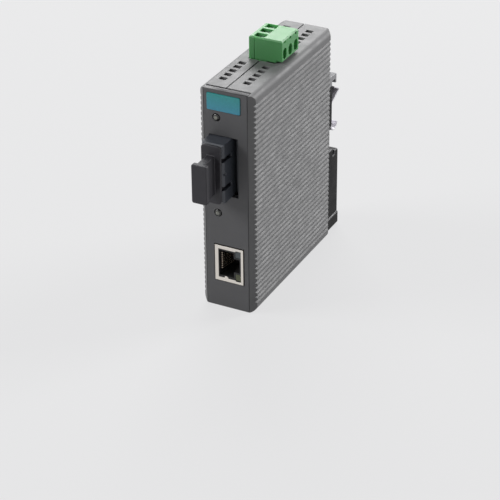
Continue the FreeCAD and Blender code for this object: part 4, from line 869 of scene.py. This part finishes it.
# ----------------------------------------------------------- main board
# Glass-filled epoxy laminate under green solder mask. Its copper shows as
# paler tracks, and the bare cut edge is straw coloured.
def laminate(name):
    """Solder mask over tracks: bands turned by coarse noise, and the weave, in height."""
    made, tree, shader = finish_of(name)
    place = add(tree, "TexCoord").outputs["Object"]
    tracks = add(tree, "TexWave", {"Vector": place, "Scale": 1 / (6 * MM), "Distortion": 5.0,
                                   "Detail": 1.0, "Detail Scale": 0.6}, bands_direction="Z")
    copper = add(tree, "MapRange", {"Value": tracks.outputs["Fac"], "From Min": 0.55,
                                    "From Max": 0.62})
    mask = add(tree, "Mix", {"Factor": copper.outputs["Result"], 6: linear("#0d4a2c"),
                             7: linear("#1a6a3d")}, data_type="RGBA")
    face = add(tree, "NewGeometry").outputs["Normal"]
    flat = add(tree, "SeparateXYZ", {"Vector": face}).outputs["X"]
    on_face = add(tree, "Math", {0: flat}, operation="ABSOLUTE")
    skin = add(tree, "Mix", {"Factor": on_face.outputs[0], 6: linear("#b7a266"),
                             7: mask.outputs[2]}, data_type="RGBA")
    # The glass cloth's threads are 0.5 mm apart; they are drawn at 1.2 mm, so that they show.
    weave = add(tree, "TexBrick", {"Vector": place, "Scale": 1 / (1.2 * MM)})
    height = add(tree, "Math", {0: copper.outputs["Result"], 1: weave.outputs["Fac"]},
                 operation="ADD")
    bump = add(tree, "Bump", {"Height": height.outputs[0], "Distance": 0.02 * MM,
                              "Strength": 1.0})
    feed(tree, shader, {"Base Color": skin.outputs[2], "Normal": bump.outputs["Normal"],
                        "Roughness": 0.32})
    return made


# Deep green and glossy, with paler tracks that stand up a little.
board = frame["nodes"]["main_board"]
board.data.materials.clear()
board.data.materials.append(laminate("epoxy glass laminate, solder mask"))


# ----------------------------------------------------- board components
# Chips and transformer are matt epoxy mouldings on tinned gull-wing leads;
# the power inductor is a wound ferrite drum, and the bulk capacitors are
# sleeved aluminium cans with a rolled groove above their seals.
def gull_wings(node, chip, count):
    """Leads on a chip's four sides: a strip down from its side, round a knee, and out."""
    low, high = box_mm(node)
    inner_low, inner_high = box_mm(chip)
    pitch, wide, thick = 1.27, 0.6, 0.2
    stand, level_run, lean = 0.5, 0.35, 0.15
    foot = high[0] - thick / 2
    knee = high[0] - stand + thick / 2
    section = round_outline(wide, thick, 0.05, 2)
    made = []
    for offset in (np.arange(count) - (count - 1) / 2) * pitch:
        for axis, side in ((1, -1), (1, 1), (2, -1), (2, 1)):
            other = 3 - axis
            near = inner_low[axis] if side < 0 else inner_high[axis]
            far = low[axis] if side < 0 else high[axis]
            corners = np.zeros((4, 3))
            corners[:, 0] = (knee, knee, foot, foot)
            corners[:, axis] = (near, near + side * level_run,
                                near + side * (level_run + lean), far)
            corners[:, other] = (low[other] + high[other]) / 2 + offset
            made.append(drawn(bent(corners, 0.12, 3), section, np.eye(3)[other]))
    return made


def aluminium_cans():
    """Cans on the board: seal, rolled groove, straight sleeve, round shoulder, dished end."""
    low, high = box_mm("bulk_capacitors")
    radius = (high[2] - low[2]) / 2
    long = high[0] - low[0]
    groove = radius - 0.45
    profile = [(0, 0), (radius - 0.5, 0), (radius - 0.1, 0.15), (radius, 0.6), (radius, 1.5),
               (groove, 1.9), (groove, 2.1), (radius, 2.5), (radius, long - 0.5),
               (radius - 0.15, long - 0.15), (radius - 0.5, long),
               (radius - 0.8, long - 0.12), (0, long - 0.15)]
    z = (low[2] + high[2]) / 2
    return [turned(profile, (high[0], y, z), (-1, 0, 0), 36)
            for y in (low[1] + radius, high[1] - radius)]


def wound_drum():
    """Ferrite drum: flanges r = the lesser of a square and its cut corners, and between them
    the winding, r = winding + ripple * cos(h / wire), as rings from one end to the other."""
    low, high = box_mm("power_inductor")
    x, y, z = high[0], *((low + high) / 2)[1:]
    half = (high[1] - low[1]) / 2
    tall = high[0] - low[0]
    flange_thick, bevel, cut = 1.1, 0.1, 1.5
    winding, ripple, wire = half - 0.9, 0.09, 0.35
    u = np.linspace(0, 2 * math.pi, 64, endpoint=False)
    square = 1 / np.maximum(np.abs(np.cos(u)), np.abs(np.sin(u)))
    corner = (2 * half - cut) / half / (np.abs(np.cos(u)) + np.abs(np.sin(u)))
    rim = [0, 0, bevel, flange_thick - bevel]
    turns = np.linspace(flange_thick, tall - flange_thick, 33)
    h = np.concatenate([rim, turns, [tall - place for place in rim[::-1]]])[:, None]
    wound = winding + ripple * np.cos((h - flange_thick) * 2 * math.pi / wire)
    inside = (h >= turns[0]) & (h <= turns[-1])
    r = np.where(inside, wound, half * np.minimum(square, corner))
    r[[0, -1]] = 0
    rings = np.broadcast_arrays(x - h, y + r * np.cos(u), z + r * np.sin(u))
    return grid(np.stack(rings, -1))


# Transfer moulding leaves a dry, even, greyish black.
EPOXY = moulded("epoxy, black transfer moulding", "#232325", 0.55, grain=0.2, depth=0.01)
for node in ("isolation_transformer", "converter_chip", "network_chip", "power_regulator"):
    rounded(node, node + "_moulding", 0.15, EPOXY)
for chip, count in (("converter_chip", 9), ("network_chip", 6)):
    piece(chip + "_gull_wings", chip + "_leads", gull_wings(chip + "_leads", chip, count),
          SOLDERED)
# Drawn aluminium: soft grey streaks round a satin can.
piece("bulk_capacitor_cans", "bulk_capacitors", aluminium_cans(),
      metal("aluminium can, impact drawn", "#c6c8ca", 0.35, run=(0.1, 1, 1)))
# Varnished ferrite: brown black with a thin shine.
piece("power_inductor_drum", "power_inductor", [wound_drum()],
      moulded("ferrite, pressed and sintered, varnished", "#3a3837", 0.4, grain=0.3))
# Nickel silver: a warm, bright can.
rounded("clock_crystal", "clock_crystal_can", 0.35,
        metal("nickel silver can, drawn and welded", "#c9c6be", 0.25, run=(0.2, 1, 1)),
        segments=3)
# Dipped resin: thick amber gloss that pools unevenly.
rounded("input_fuse", "input_fuse_coated", 0.4,
        moulded("epoxy dip coat, amber", "#b98a2e", 0.3, drift=0.15), segments=3)
# Fired ceramic: tan, smooth, faintly shiny.
rounded("chip_capacitors", "chip_capacitors_sintered", 0.08,
        moulded("barium titanate ceramic, sintered", "#a98d6c", 0.4, grain=0.2))
